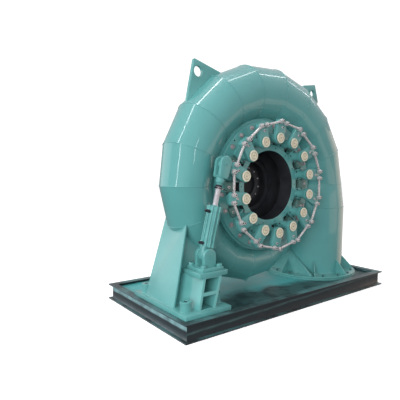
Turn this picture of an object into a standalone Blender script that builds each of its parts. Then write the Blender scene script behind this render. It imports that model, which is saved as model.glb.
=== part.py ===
"""Francis turbine: spiral casing on its base frame, with guide vane gear and servo cylinder.

Metres, +Z up. The origin is at the bottom centre of the base frame.
The cover with the guide vane gear faces -Y, and the turbine axis runs along Y.
Angles round the axis are clockwise from the top, as seen from the front.
"""

import math

import bmesh
import bpy
from mathutils import Matrix, Vector

GAP = 0.0003

# base frame of mitred I-beams, with a deck plate let in between their webs
FRAME_LENGTH = 2.95
FRAME_DEPTH = 1.445
BEAM_HEIGHT = 0.16
BEAM_FLANGE = 0.075
BEAM_FLANGE_THICKNESS = 0.012
BEAM_WEB = 0.009
DECK_TOP = 0.130
DECK_THICKNESS = 0.012

# turbine axis and the planes along it
AXIS_X = -0.095
AXIS_Z = 1.228
MID_Y = -0.050
PASSAGE_HALF = 0.062
CAP_FACE_Y = -0.4445

# spiral casing: tube radius and reach fall along the wrap angle from the inlet
SPIRAL_RADIUS = 0.356
SPIRAL_INNER = 0.70
THROAT_START = 0.165
THROAT_END = 0.072
SEGMENT = 20
LAST_WRAP = 340
TUBE_SIDES = 24

# inlet pipe and its foot flange
PIPE_RADIUS = 0.39
PIPE_WALL = 0.016
PIPE_TAPER_END = 0.95
FLANGE_RADIUS = 0.55
FLANGE_THICKNESS = 0.040
INLET_GUSSETS = 8
INLET_GUSSET_REACH = 0.135
INLET_GUSSET_HEIGHT = 0.155
GUSSET_THICKNESS = 0.012
SIDE_PLATE_LEFT = 0.513
SIDE_PLATE_RIGHT = 0.542
SIDE_PLATE_HALF = 0.34
SIDE_PLATE_TOP = 0.447

# stay ring
STAY_INNER = 0.60
STAY_OUTER = SPIRAL_INNER - GAP
STAY_HALF = 0.17
STAY_VANES = 14
STAY_VANE_LEAN = 32
STAY_VANE_OUTLINE = (
    (0.0, -0.040), (0.010, -0.012), (0.010, 0.020), (0.0, 0.040), (-0.008, 0.010), (-0.007, -0.015),
)
RING_SIDES = 42

# covers
COVER_FLANGE_RADIUS = 0.68
COVER_FLANGE_THICKNESS = 0.035
BORE_RADIUS = 0.366
BORE_FACE_Y = -0.2865
COVER_PLATE_Y = -0.225
COVER_RING_RADIUS = 0.430
COVER_RIM_INNER = 0.580
PAD_FACE_Y = -0.278
PAD_HALF = 0.055
STOP_INNER = 0.503
STOP_OUTER = 0.600
STOP_HALF = 0.050
STOP_FACE_Y = -0.285
BOSS_RADIUS = 0.046
REAR_STEP_RADIUS = 0.32
REAR_STEP_Y = 0.035
REAR_BORE_RADIUS = 0.26
SHAFT_HOLE_RADIUS = 0.13
REAR_HUB_FRONT_Y = 0.100
REAR_HUB_Y = 0.215

# guide vane gear
VANES = 14
STEM_CIRCLE = 0.49
FIRST_STEM_ANGLE = -1.0
LEVER_TILT = 15.3
PIN_ARM = 0.1685
STEM_RADIUS = 0.030
STEM_HOLE_RADIUS = 0.0325
CAP_RADIUS = 0.053
CAP_THICKNESS = 0.018
LEVER_THICKNESS = 0.045
LEVER_HUB_RADIUS = 0.061
LEVER_TIP_RADIUS = 0.027
PIN_RADIUS = 0.011
PIN_FACE_Y = CAP_FACE_Y - 0.033
LINK_EYE_RADIUS = 0.024
LINK_EYE_THICKNESS = 0.030
LINK_HOLE_RADIUS = 0.0128
LINK_ROD_RADIUS = 0.0125
BLADE_LEAD = 0.104
BLADE_TRAIL = 0.108
BLADE_THICKNESS = 0.034
BLADE_END_GAP = 0.0015

# servo cylinder between its clevis and the drive arm of one lever
DRIVE_VANE = 12
SERVO_Y = -0.4037
CLEVIS_PIN = (-1.040, 0.615)
FORK_PIN = (-0.842, 1.437)
SERVO_PIN_RADIUS = 0.020
BARREL_RADIUS = 0.066
HEAD_RADIUS = 0.072
HEAD_LENGTH = 0.035
CYLINDER_START = 0.075
CYLINDER_END = 0.452
ROD_RADIUS = 0.0255
ROD_BORE_RADIUS = 0.0262
ROD_START = 0.335
ROD_BORE_START = 0.165
NECK_RADIUS = 0.038
NECK_START = 0.650
FORK_START = 0.715
FORK_WIDTH = 0.104
FORK_DEPTH = 0.102
FORK_SLOT = 0.040
FORK_SLOT_START = 0.738
ARM_THICKNESS = 0.030
ARM_HUB_HALF = 0.058
ARM_END_RADIUS = 0.045
ARM_EYE_WIDTH = 0.023
ARM_EYE_SLACK = 0.0125
CYLINDER_EYE_RADIUS = 0.056
EAR_GAP = 0.070
EAR_THICKNESS = 0.040
EAR_RADIUS = 0.068

# servo bracket and clevis base; the bracket leans, so its sides are given at its base and its neck
BRACKET_TOP_Z = 0.49
BRACKET_PLATE = 0.045
BRACKET_PLATE_HALF = 0.156
BRACKET_FRONT_Y = -0.537
BRACKET_REAR_Y = -0.235
BRACKET_WALL = 0.020
BRACKET_BASE_SIDES = (-1.270, -1.083, -0.617)
BRACKET_NECK_SIDES = (-1.152, -0.945, -0.532)
BRACKET_MARGIN = 0.027
BRACKET_WINDOWS = ((0.190, 0.303), (0.330, 0.437))
CLEVIS_BASE_THICKNESS = 0.030
CLEVIS_BASE_HALF = 0.120

# support foot under the left of the casing: left, right, front and rear at its base and its top
FOOT_PLATE_THICKNESS = 0.040
FOOT_PLATE_BOX = (-1.430, -0.940, -0.657, 0.218)
FOOT_WALL = 0.016
FOOT_TOP_Z = 0.93
FOOT_BASE_SIDES = (-1.395, -0.950, -0.425, 0.055)
FOOT_TOP_SIDES = (-1.100, -0.950, -0.204, 0.164)
SLEEVE_RADIUS = 0.048
SLEEVE_HOLE = 0.016
SLEEVE_HEIGHT = 0.085
SLEEVES = ((-1.352, -0.542), (-1.348, 0.122), (-0.985, -0.485), (-0.985, 0.122))

# lifting lugs in the middle plane of the casing
LUG_THICKNESS = 0.036
LUG_LEFT = ((-0.935, 2.448), (-0.596, 2.365), (-0.62, 2.05), (-1.022, 2.015))
LUG_LEFT_HOLE = (-0.883, 2.337, 0.052)
LUG_RIGHT = ((0.711, 2.411), (0.918, 2.443), (0.985, 2.243), (0.86, 2.02), (0.60, 2.24))
LUG_RIGHT_HOLE = (0.872, 2.330, 0.044)

TEAL = (0.105, 0.375, 0.350, 1.0)
FRAME_DARK = (0.030, 0.036, 0.043, 1.0)
CAP_CREAM = (0.80, 0.72, 0.50, 1.0)
STEEL = (0.62, 0.62, 0.64, 1.0)


def clear_scene():
    for obj in list(bpy.data.objects):
        bpy.data.objects.remove(obj, do_unlink=True)


def finish(name, colour, roughness, metallic):
    material = bpy.data.materials.new(name)
    material.use_nodes = True
    shader = material.node_tree.nodes["Principled BSDF"]
    shader.inputs["Base Color"].default_value = colour
    shader.inputs["Roughness"].default_value = roughness
    shader.inputs["Metallic"].default_value = metallic
    return material


def on_circle(angle, radius, y=0.0):
    """Point round the turbine axis, the angle in degrees clockwise from the top."""
    turn = math.radians(angle)
    return Vector((AXIS_X + radius * math.sin(turn), y, AXIS_Z + radius * math.cos(turn)))


def new_object(name, mesh, material=None):
    obj = bpy.data.objects.new(name, mesh)
    bpy.context.scene.collection.objects.link(obj)
    if material is not None and not mesh.materials:
        mesh.materials.append(material)
    return obj


def mesh_from(name, points, faces, split_quads=False):
    """A closed mesh with its faces turned outwards."""
    shape = bmesh.new()
    corners = [shape.verts.new(p) for p in points]
    for face in faces:
        shape.faces.new([corners[i] for i in face])
    bmesh.ops.recalc_face_normals(shape, faces=shape.faces[:])
    if split_quads:
        quads = [face for face in shape.faces if len(face.verts) == 4]
        bmesh.ops.triangulate(shape, faces=quads, quad_method="FIXED")
    mesh = bpy.data.meshes.new(name)
    shape.to_mesh(mesh)
    shape.free()
    return mesh


def rings_mesh(name, rings, closed_round=False, split_quads=False):
    """Skin a row of equal point rings, with flat ends or joined end to end."""
    count = len(rings[0])
    points = [p for ring in rings for p in ring]
    spans = len(rings) if closed_round else len(rings) - 1
    faces = []
    for r in range(spans):
        low = r * count
        high = ((r + 1) % len(rings)) * count
        for i in range(count):
            j = (i + 1) % count
            faces.append((low + i, low + j, high + j, high + i))
    if not closed_round:
        faces.append(tuple(range(count)))
        faces.append(tuple(range((len(rings) - 1) * count, len(rings) * count)))
    return mesh_from(name, points, faces, split_quads)


def prism(name, outline, low, high, axis="Y"):
    """Extrude a flat outline: (x, z) along Y, (x, y) along Z or (y, z) along X."""
    place = {
        "X": lambda a, b, t: (t, a, b),
        "Y": lambda a, b, t: (a, t, b),
        "Z": lambda a, b, t: (a, b, t),
    }[axis]
    rings = [[place(a, b, t) for a, b in outline] for t in (low, high)]
    return new_object(name, rings_mesh(name, rings))


def box(name, low, high):
    outline = ((low[0], low[1]), (high[0], low[1]), (high[0], high[1]), (low[0], high[1]))
    return prism(name, outline, low[2], high[2], "Z")


def leaning_block(name, sections):
    """Block between two level rectangles, each given as z, left, right, front and rear."""
    rings = []
    for z, left, right, front, rear in sections:
        rings.append([(left, front, z), (right, front, z), (right, rear, z), (left, rear, z)])
    return new_object(name, rings_mesh(name, rings))


def turned(name, profile, sides, axis="Y", centre=(0.0, 0.0), start=0.0):
    """Lathe a row of (radius, height) points, with flat discs for its ends."""
    rings = []
    for radius, height in profile:
        ring = []
        for i in range(sides):
            turn = start + 2 * math.pi * i / sides
            a = centre[0] + radius * math.sin(turn)
            b = centre[1] + radius * math.cos(turn)
            ring.append((a, height, b) if axis == "Y" else (a, b, height))
        rings.append(ring)
    return new_object(name, rings_mesh(name, rings))


def turned_ring(name, profile, sides, axis="Y", centre=(0.0, 0.0)):
    """Lathe a closed (radius, height) outline that stays off the axis."""
    rings = []
    for i in range(sides):
        turn = 2 * math.pi * i / sides
        ring = []
        for radius, height in profile:
            a = centre[0] + radius * math.sin(turn)
            b = centre[1] + radius * math.cos(turn)
            ring.append((a, height, b) if axis == "Y" else (a, b, height))
        rings.append(ring)
    return new_object(name, rings_mesh(name, rings, closed_round=True))


def combine(target, tools, operation):
    """Join or cut the target with each tool, and keep only the result."""
    for tool in tools:
        step = target.modifiers.new(operation.title(), "BOOLEAN")
        step.operation = operation
        step.solver = "EXACT"
        step.object = tool
    graph = bpy.context.evaluated_depsgraph_get()
    result = bpy.data.meshes.new_from_object(target.evaluated_get(graph))
    target.modifiers.clear()
    target.data = result
    for tool in tools:
        bpy.data.objects.remove(tool, do_unlink=True)
    return target


def dress(obj, material, smooth_angle=30):
    obj.data.materials.clear()
    obj.data.materials.append(material)
    obj.data.shade_smooth()
    obj.data.set_sharp_from_angle(angle=math.radians(smooth_angle))
    return obj


def take_mesh(obj):
    mesh = obj.data
    bpy.data.objects.remove(obj, do_unlink=True)
    return mesh


def arc(centre, radius, start, end, steps):
    """Points on an arc, the angles in degrees clockwise from +Z."""
    points = []
    for i in range(steps + 1):
        turn = math.radians(start + (end - start) * i / steps)
        points.append((centre[0] + radius * math.sin(turn), centre[1] + radius * math.cos(turn)))
    return points


# casing

def spiral_section(wrap):
    """Tube radius and centre radius of the casing at a wrap angle from the inlet."""
    share = wrap / 360
    tube = SPIRAL_RADIUS * math.sqrt(1 - share)
    throat = THROAT_START + (THROAT_END - THROAT_START) * share
    return tube, SPIRAL_INNER + math.sqrt(tube ** 2 - throat ** 2)


def spiral_body(name, grow=0.0):
    """Solid form of the mitred spiral, its tube radius grown for use as a cutter."""
    rings = []
    for wrap in range(0, LAST_WRAP + 1, SEGMENT):
        tube, reach = spiral_section(wrap)
        tube += grow
        mitre = 1 / math.cos(math.radians(SEGMENT / 2)) if wrap else 1.0
        ring = []
        for i in range(TUBE_SIDES):
            turn = 2 * math.pi * i / TUBE_SIDES
            radius = reach + tube * mitre * math.cos(turn)
            ring.append(on_circle(90 - wrap, radius, MID_Y + tube * math.sin(turn)))
        rings.append(ring)
    return new_object(name, rings_mesh(name, rings, split_quads=True))


def inlet_axis_x():
    return AXIS_X + spiral_section(0)[1]


def pipe_form(name, inset, bottom, top):
    """Solid form of the tapered inlet pipe, made smaller by an inset."""
    profile = (
        (PIPE_RADIUS - inset, bottom),
        (PIPE_RADIUS - inset, PIPE_TAPER_END),
        (SPIRAL_RADIUS - inset, top),
    )
    return turned(name, profile, TUBE_SIDES, "Z", (inlet_axis_x(), MID_Y), math.pi / 2)


def ring_cutter(name, radius, low, high):
    return turned(name, ((radius, low), (radius, high)), RING_SIDES, "Y", (AXIS_X, AXIS_Z))


def make_scroll_case(teal):
    case = spiral_body("scroll_case")
    hole = ring_cutter("case_hole", SPIRAL_INNER, -0.6, 0.6)
    pipe = pipe_form("case_pipe", -GAP, 0.1, AXIS_Z - GAP)
    combine(case, (hole, pipe), "DIFFERENCE")
    return dress(case, teal, 8)


def make_inlet_pipe(teal):
    pipe = pipe_form("inlet_pipe", 0.0, DECK_TOP + GAP, AXIS_Z - 2 * GAP)
    bore = pipe_form("pipe_bore", PIPE_WALL, 0.05, AXIS_Z + 0.1)
    ring = ring_cutter("pipe_ring", SPIRAL_INNER, -0.6, 0.6)
    combine(pipe, (bore, ring), "DIFFERENCE")
    return dress(pipe, teal, 8)


def make_inlet_flange(teal):
    """Foot flange round the pipe, with its gussets and side plate."""
    deck = DECK_TOP + GAP
    flange = turned(
        "inlet_flange",
        ((FLANGE_RADIUS, deck), (FLANGE_RADIUS, deck + FLANGE_THICKNESS)),
        40, "Z", (inlet_axis_x(), MID_Y),
    )
    base = deck + FLANGE_THICKNESS - 0.005
    parts = [inlet_gusset(i * 360 / INLET_GUSSETS, base) for i in range(INLET_GUSSETS)]
    side = prism(
        "pipe_side_plate",
        ((MID_Y - SIDE_PLATE_HALF, base), (MID_Y + SIDE_PLATE_HALF, base), (MID_Y, SIDE_PLATE_TOP)),
        SIDE_PLATE_LEFT, SIDE_PLATE_RIGHT, "X",
    )
    parts.append(side)
    combine(flange, parts, "UNION")
    pipe = pipe_form("pipe_space", -GAP, 0.05, AXIS_Z)
    beam_edge = FRAME_LENGTH / 2 - BEAM_FLANGE - GAP
    flat = box("pipe_flat", (beam_edge, -0.8, 0.0), (beam_edge + 0.3, 0.8, 0.5))
    combine(flange, (pipe, flat), "DIFFERENCE")
    return dress(flange, teal)


def inlet_gusset(angle, base):
    """Triangular fin that stands on the flange against the pipe."""
    inner = PIPE_RADIUS - 0.008
    outer = PIPE_RADIUS + INLET_GUSSET_REACH
    top = base + INLET_GUSSET_HEIGHT
    outline = ((inner, base), (outer, base), (outer, base + 0.02), (inner, top))
    fin = prism("pipe_gusset", outline, -GUSSET_THICKNESS / 2, GUSSET_THICKNESS / 2)
    turn = Matrix.Rotation(math.radians(angle), 4, "Z")
    fin.matrix_world = Matrix.Translation((inlet_axis_x(), MID_Y, 0)) @ turn
    return fin


def make_stay_ring(teal):
    front = MID_Y - STAY_HALF
    rear = MID_Y + STAY_HALF
    near = MID_Y - PASSAGE_HALF
    far = MID_Y + PASSAGE_HALF
    axis = (AXIS_X, AXIS_Z)
    ring = turned_ring(
        "stay_ring",
        ((STAY_INNER, front), (STAY_OUTER, front), (STAY_OUTER, near), (STAY_INNER, near)),
        RING_SIDES, "Y", axis,
    )
    back = turned_ring(
        "stay_back",
        ((STAY_INNER, far), (STAY_OUTER, far), (STAY_OUTER, rear), (STAY_INNER, rear)),
        RING_SIDES, "Y", axis,
    )
    parts = [back]
    for i in range(STAY_VANES):
        parts.append(stay_vane(i * 360 / STAY_VANES, near - 0.01, far + 0.01))
    combine(ring, parts, "UNION")
    return dress(ring, teal)


def stay_vane(angle, near, far):
    """Fixed blade between the two rings, leaned the way the water turns."""
    blade = prism("stay_vane", STAY_VANE_OUTLINE, near, far)
    seat = on_circle(angle, (STAY_INNER + STAY_OUTER) / 2)
    lean = Matrix.Rotation(math.radians(angle + STAY_VANE_LEAN), 4, "Y")
    blade.matrix_world = Matrix.Translation((seat.x, 0, seat.z)) @ lean
    return blade


def make_bore_ring(teal):
    """Machined ring round the runner bore, which the draft tube bolts to."""
    back = MID_Y - PASSAGE_HALF
    outer = COVER_RING_RADIUS - GAP
    ring = turned_ring(
        "bore_ring",
        ((BORE_RADIUS, BORE_FACE_Y), (outer, BORE_FACE_Y), (outer, back), (BORE_RADIUS, back)),
        RING_SIDES, "Y", (AXIS_X, AXIS_Z),
    )
    return dress(ring, teal)


def cover_block(name, angle, inner, outer, half, face):
    """Block on the front cover, with its long faces along the radius at that angle."""
    block = box(name, (-half, face, inner), (half, COVER_PLATE_Y + 0.005, outer))
    turn = Matrix.Rotation(math.radians(angle), 4, "Y")
    block.matrix_world = Matrix.Translation((AXIS_X, 0, AXIS_Z)) @ turn
    return block


def make_front_cover(teal):
    back = MID_Y - PASSAGE_HALF
    seat = MID_Y - STAY_HALF - GAP
    rim = seat - COVER_FLANGE_THICKNESS
    plug = STAY_INNER - GAP
    cover = turned_ring(
        "front_cover",
        (
            (COVER_RING_RADIUS, COVER_PLATE_Y),
            (COVER_RIM_INNER, COVER_PLATE_Y),
            (COVER_RIM_INNER, rim),
            (COVER_FLANGE_RADIUS, rim),
            (COVER_FLANGE_RADIUS, seat),
            (plug, seat),
            (plug, back),
            (COVER_RING_RADIUS, back),
        ),
        RING_SIDES, "Y", (AXIS_X, AXIS_Z),
    )
    boss_face = CAP_FACE_Y + CAP_THICKNESS + LEVER_THICKNESS + 2 * GAP
    blocks = []
    holes = []
    for i in range(VANES):
        angle = FIRST_STEM_ANGLE + i * 360 / VANES
        middle = angle + half_pitch()
        blocks.append(cover_block(
            "cover_pad", angle, COVER_RING_RADIUS + GAP, COVER_RIM_INNER + 0.005, PAD_HALF, PAD_FACE_Y,
        ))
        blocks.append(cover_block("cover_stop", middle, STOP_INNER, STOP_OUTER, STOP_HALF, STOP_FACE_Y))
        stem = on_circle(angle, STEM_CIRCLE)
        centre = (stem.x, stem.z)
        boss = ((BOSS_RADIUS, boss_face), (BOSS_RADIUS, PAD_FACE_Y + 0.01))
        hole = ((STEM_HOLE_RADIUS, boss_face - 0.05), (STEM_HOLE_RADIUS, back + 0.05))
        blocks.append(turned("cover_boss", boss, 16, "Y", centre, math.radians(angle)))
        holes.append(turned("stem_hole", hole, 12, "Y", centre, math.radians(angle)))
    combine(cover, blocks, "UNION")
    combine(cover, holes, "DIFFERENCE")
    return dress(cover, teal)


def make_rear_cover(teal):
    near = MID_Y + PASSAGE_HALF
    seat = MID_Y + STAY_HALF + GAP
    rim = seat + COVER_FLANGE_THICKNESS
    plug = STAY_INNER - GAP
    cover = turned_ring(
        "rear_cover",
        (
            (REAR_STEP_RADIUS, near),
            (plug, near),
            (plug, seat),
            (COVER_FLANGE_RADIUS, seat),
            (COVER_FLANGE_RADIUS, rim),
            (REAR_BORE_RADIUS, rim),
            (REAR_BORE_RADIUS, REAR_STEP_Y),
            (REAR_STEP_RADIUS, REAR_STEP_Y),
        ),
        RING_SIDES, "Y", (AXIS_X, AXIS_Z),
    )
    return dress(cover, teal)


def make_rear_hub(teal):
    """Hub in the rear cover, with the shaft hole and the face for the shaft seal."""
    outer = REAR_BORE_RADIUS - GAP
    hub = turned_ring(
        "rear_hub",
        (
            (SHAFT_HOLE_RADIUS, REAR_HUB_FRONT_Y), (outer, REAR_HUB_FRONT_Y),
            (outer, REAR_HUB_Y), (SHAFT_HOLE_RADIUS, REAR_HUB_Y),
        ),
        RING_SIDES, "Y", (AXIS_X, AXIS_Z),
    )
    return dress(hub, teal)


# guide vane gear

def half_pitch():
    return 180 / VANES


def blade_outline():
    """Lens-shaped blade section, its long way along local X, blunt at the leading edge."""
    length = BLADE_LEAD + BLADE_TRAIL
    upper = []
    lower = []
    for share in (0.0, 0.10, 0.30, 0.55, 0.80, 1.0):
        x = BLADE_LEAD - share * length
        bulge = math.sin(math.pi * share) ** 0.75 * (1 - 0.25 * share)
        half = 0.5 * BLADE_THICKNESS * bulge + 0.003
        upper.append((x, half))
        lower.append((x, -half))
    return upper + lower[::-1]


def make_vane_mesh():
    near = MID_Y - PASSAGE_HALF + BLADE_END_GAP
    far = MID_Y + PASSAGE_HALF - BLADE_END_GAP
    cap_back = CAP_FACE_Y + CAP_THICKNESS
    stem = turned(
        "vane_stem",
        (
            (CAP_RADIUS, CAP_FACE_Y), (CAP_RADIUS, cap_back),
            (STEM_RADIUS, cap_back), (STEM_RADIUS, near + 0.01),
        ),
        12,
    )
    blade = prism("vane_blade", blade_outline(), near, far)
    combine(stem, (blade,), "UNION")
    return take_mesh(stem)


def pin_places():
    """The two link pins of a lever, in the lever's own frame with the hub at the origin."""
    places = []
    for side in (-1, 1):
        turn = math.radians(LEVER_TILT + side * half_pitch())
        places.append((PIN_ARM * math.sin(turn), PIN_ARM * math.cos(turn)))
    return places


def hull_outline(circles, step):
    """Convex outline round a few circles, as the farthest points in each direction."""
    points = []
    count = int(360 / step)
    for i in range(count):
        turn = math.radians(i * step)
        way = Vector((math.sin(turn), math.cos(turn)))
        best = max(circles, key=lambda c: Vector(c[0]).dot(way) + c[1])
        point = Vector(best[0]) + way * best[1]
        if not points or (point - points[-1]).length > 1e-6:
            points.append(point)
    return [(p.x, p.y) for p in points]


def lever_blank(name):
    front = CAP_FACE_Y + CAP_THICKNESS + GAP
    circles = [((0.0, 0.0), LEVER_HUB_RADIUS)]
    circles += [(place, LEVER_TIP_RADIUS) for place in pin_places()]
    blank = prism(name, hull_outline(circles, 22.5), front, front + LEVER_THICKNESS)
    pins = []
    for place in pin_places():
        pin = ((PIN_RADIUS, PIN_FACE_Y), (PIN_RADIUS, front + 0.01))
        pins.append(turned("lever_pin", pin, 8, "Y", place))
    return blank, pins


def lever_bore(name):
    radius = STEM_RADIUS + 0.0004
    return turned(name, ((radius, CAP_FACE_Y - 0.1), (radius, CAP_FACE_Y + 0.2)), 12)


def make_lever_mesh():
    blank, pins = lever_blank("lever")
    combine(blank, pins, "UNION")
    combine(blank, (lever_bore("bore"),), "DIFFERENCE")
    return take_mesh(blank)


def drive_arm_vector():
    """From the drive vane's stem to the fork pin, in that lever's own frame."""
    stem_angle = FIRST_STEM_ANGLE + (DRIVE_VANE - 1) * 360 / VANES
    stem = on_circle(stem_angle, STEM_CIRCLE)
    reach = Vector((FORK_PIN[0] - stem.x, 0, FORK_PIN[1] - stem.z))
    return Matrix.Rotation(math.radians(-stem_angle), 3, "Y") @ reach


def make_drive_lever_mesh():
    blank, pins = lever_blank("drive_lever")
    end = drive_arm_vector()
    length = end.length
    way = math.degrees(math.atan2(end.x, end.z))
    arm = prism(
        "drive_arm",
        [(-ARM_HUB_HALF, 0.0), (ARM_HUB_HALF, 0.0)] + arc((0.0, length), ARM_END_RADIUS, 90, -90, 8),
        SERVO_Y - ARM_THICKNESS / 2, SERVO_Y + ARM_THICKNESS / 2,
    )
    eye = prism(
        "arm_eye",
        arc((0.0, length + 0.001), ARM_EYE_WIDTH, 90, -90, 6)
        + arc((0.0, length - ARM_EYE_SLACK), ARM_EYE_WIDTH, 270, 90, 6),
        SERVO_Y - 0.1, SERVO_Y + 0.1,
    )
    for piece in (arm, eye):
        piece.matrix_world = Matrix.Rotation(math.radians(way), 4, "Y")
    combine(blank, [arm] + pins, "UNION")
    combine(blank, (lever_bore("bore"), eye), "DIFFERENCE")
    return take_mesh(blank)


def make_link_mesh():
    """Rod with an eye at each end, from the first eye at the origin along local X."""
    length = 2 * STEM_CIRCLE * math.sin(math.pi / VANES)
    back = CAP_FACE_Y + CAP_THICKNESS
    front = back - LINK_EYE_THICKNESS
    middle = (front + back) / 2
    rings = []
    for x in (0.012, length - 0.012):
        ring = []
        for i in range(6):
            turn = 2 * math.pi * i / 6
            ring.append((x, middle + LINK_ROD_RADIUS * math.cos(turn), LINK_ROD_RADIUS * math.sin(turn)))
        rings.append(ring)
    rod = new_object("link", rings_mesh("link", rings))
    eyes = []
    holes = []
    for x in (0.0, length):
        disc = ((LINK_EYE_RADIUS, front), (LINK_EYE_RADIUS, back))
        bore = ((LINK_HOLE_RADIUS, front - 0.01), (LINK_HOLE_RADIUS, back + 0.01))
        eyes.append(turned("link_eye", disc, 12, "Y", (x, 0.0)))
        holes.append(turned("link_hole", bore, 8, "Y", (x, 0.0)))
    combine(rod, eyes, "UNION")
    combine(rod, holes, "DIFFERENCE")
    return take_mesh(rod)


def make_gear(teal, cream, steel):
    vane_mesh = make_vane_mesh()
    lever_mesh = make_lever_mesh()
    drive_mesh = make_drive_lever_mesh()
    link_mesh = make_link_mesh()
    pin = pin_places()[1]
    for i in range(VANES):
        number = i + 1
        angle = FIRST_STEM_ANGLE + i * 360 / VANES
        stem = on_circle(angle, STEM_CIRCLE)
        turn = (0.0, math.radians(angle), 0.0)
        vane = new_object(f"guide_vane_{number:02d}", vane_mesh)
        lever = new_object(f"guide_lever_{number:02d}", drive_mesh if number == DRIVE_VANE else lever_mesh)
        for piece in (vane, lever):
            piece.location = stem
            piece.rotation_euler = turn
        link = new_object(f"link_{number:02d}", link_mesh)
        link.location = stem + Matrix.Rotation(math.radians(angle), 3, "Y") @ Vector((pin[0], 0.0, pin[1]))
        link.rotation_euler = (0.0, math.radians(angle + half_pitch()), 0.0)
        dress(vane, cream)
        dress(lever, teal)
        dress(link, steel)


# servo

def servo_matrix():
    """Places local +Z along the servo from the clevis pin to the fork pin."""
    lean = math.atan2(FORK_PIN[0] - CLEVIS_PIN[0], FORK_PIN[1] - CLEVIS_PIN[1])
    return Matrix.Translation((CLEVIS_PIN[0], SERVO_Y, CLEVIS_PIN[1])) @ Matrix.Rotation(lean, 4, "Y")


def servo_length():
    return math.hypot(FORK_PIN[0] - CLEVIS_PIN[0], FORK_PIN[1] - CLEVIS_PIN[1])


def make_servo_cylinder(teal):
    profile = (
        (HEAD_RADIUS, CYLINDER_START),
        (HEAD_RADIUS, CYLINDER_START + HEAD_LENGTH),
        (BARREL_RADIUS, CYLINDER_START + HEAD_LENGTH),
        (BARREL_RADIUS, CYLINDER_END - HEAD_LENGTH),
        (HEAD_RADIUS, CYLINDER_END - HEAD_LENGTH),
        (HEAD_RADIUS, CYLINDER_END),
    )
    body = turned("servo_cylinder", profile, 24, "Z")
    half = EAR_GAP / 2 - GAP
    side = CYLINDER_EYE_RADIUS
    eye = prism(
        "cylinder_eye",
        arc((0.0, 0.0), side, 90, 270, 8) + [(-side, 0.09), (side, 0.09)],
        -half, half,
    )
    combine(body, (eye,), "UNION")
    radius = SERVO_PIN_RADIUS + 0.0012
    pin_hole = turned("cylinder_pin_hole", ((radius, -0.2), (radius, 0.2)), 12)
    bore = turned(
        "cylinder_bore",
        ((ROD_BORE_RADIUS, ROD_BORE_START), (ROD_BORE_RADIUS, CYLINDER_END + 0.05)),
        12, "Z",
    )
    combine(body, (pin_hole, bore), "DIFFERENCE")
    body.matrix_world = servo_matrix()
    return dress(body, teal)


def make_servo_rod(teal):
    length = servo_length()
    rod = turned(
        "servo_rod",
        (
            (ROD_RADIUS, ROD_START), (ROD_RADIUS, NECK_START),
            (NECK_RADIUS, NECK_START), (NECK_RADIUS, FORK_START + 0.01),
        ),
        12, "Z",
    )
    half = FORK_WIDTH / 2
    fork = prism(
        "fork",
        [(-0.042, FORK_START), (0.042, FORK_START), (half, FORK_START + 0.02)]
        + arc((0.0, length), half, 90, -90, 8)
        + [(-half, FORK_START + 0.02)],
        -FORK_DEPTH / 2, FORK_DEPTH / 2,
    )
    combine(rod, (fork,), "UNION")
    slot = box(
        "fork_slot",
        (-0.2, -FORK_SLOT / 2, FORK_SLOT_START),
        (0.2, FORK_SLOT / 2, length + 0.2),
    )
    combine(rod, (slot,), "DIFFERENCE")
    reach = FORK_DEPTH / 2 + 0.006
    pin = turned("fork_pin", ((SERVO_PIN_RADIUS, -reach), (SERVO_PIN_RADIUS, reach)), 12, "Y", (0.0, length))
    combine(rod, (pin,), "UNION")
    rod.matrix_world = servo_matrix()
    return dress(rod, teal)


def make_servo_clevis(teal):
    x, z = CLEVIS_PIN
    base_low = BRACKET_TOP_Z + GAP
    base_high = base_low + CLEVIS_BASE_THICKNESS
    clevis = box(
        "servo_clevis",
        (x - CLEVIS_BASE_HALF, SERVO_Y - CLEVIS_BASE_HALF, base_low),
        (x + CLEVIS_BASE_HALF, SERVO_Y + CLEVIS_BASE_HALF, base_high),
    )
    parts = []
    for side in (-1, 1):
        inner = SERVO_Y + side * EAR_GAP / 2
        outer = inner + side * EAR_THICKNESS
        foot = base_high - 0.005
        parts.append(prism(
            "clevis_ear",
            arc((x, z), EAR_RADIUS, -90, 90, 8) + [(x + EAR_RADIUS, foot), (x - EAR_RADIUS, foot)],
            min(inner, outer), max(inner, outer),
        ))
    reach = EAR_GAP / 2 + EAR_THICKNESS + 0.004
    parts.append(turned(
        "clevis_pin",
        ((SERVO_PIN_RADIUS, SERVO_Y - reach), (SERVO_PIN_RADIUS, SERVO_Y + reach)),
        12, "Y", CLEVIS_PIN,
    ))
    combine(clevis, parts, "UNION")
    return dress(clevis, teal)


# foot and bracket on the frame

def foot_seat():
    return BEAM_HEIGHT + GAP + FOOT_PLATE_THICKNESS


def foot_front_top():
    """The foot's front plate stops under the bracket's top plate."""
    return BRACKET_TOP_Z - BRACKET_PLATE - GAP


def foot_sides(z):
    """Left, right, front and rear of the leaning foot at a height."""
    share = (z - foot_seat()) / (FOOT_TOP_Z - foot_seat())
    return [base + share * (top - base) for base, top in zip(FOOT_BASE_SIDES, FOOT_TOP_SIDES)]


def make_support_foot(teal):
    wall = FOOT_WALL
    low = foot_seat() + GAP
    high = FOOT_TOP_Z + 0.05
    foot = leaning_block("support_foot", [(z, *foot_sides(z)) for z in (low, FOOT_TOP_Z)])
    inside = []
    opening = []
    for z in (low - 0.05, high):
        left, right, front, rear = foot_sides(z)
        inside.append((z, left + wall, right + 0.4, front + wall, rear - wall))
    for z in (foot_front_top(), high):
        left, right, front, rear = foot_sides(z)
        opening.append((z, left + wall, right + 0.4, front - 0.3, rear - wall))
    cutters = [leaning_block("foot_inside", inside), leaning_block("foot_opening", opening)]
    cutters.append(spiral_body("foot_saddle", GAP))
    combine(foot, cutters, "DIFFERENCE")
    return dress(foot, teal)


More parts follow.
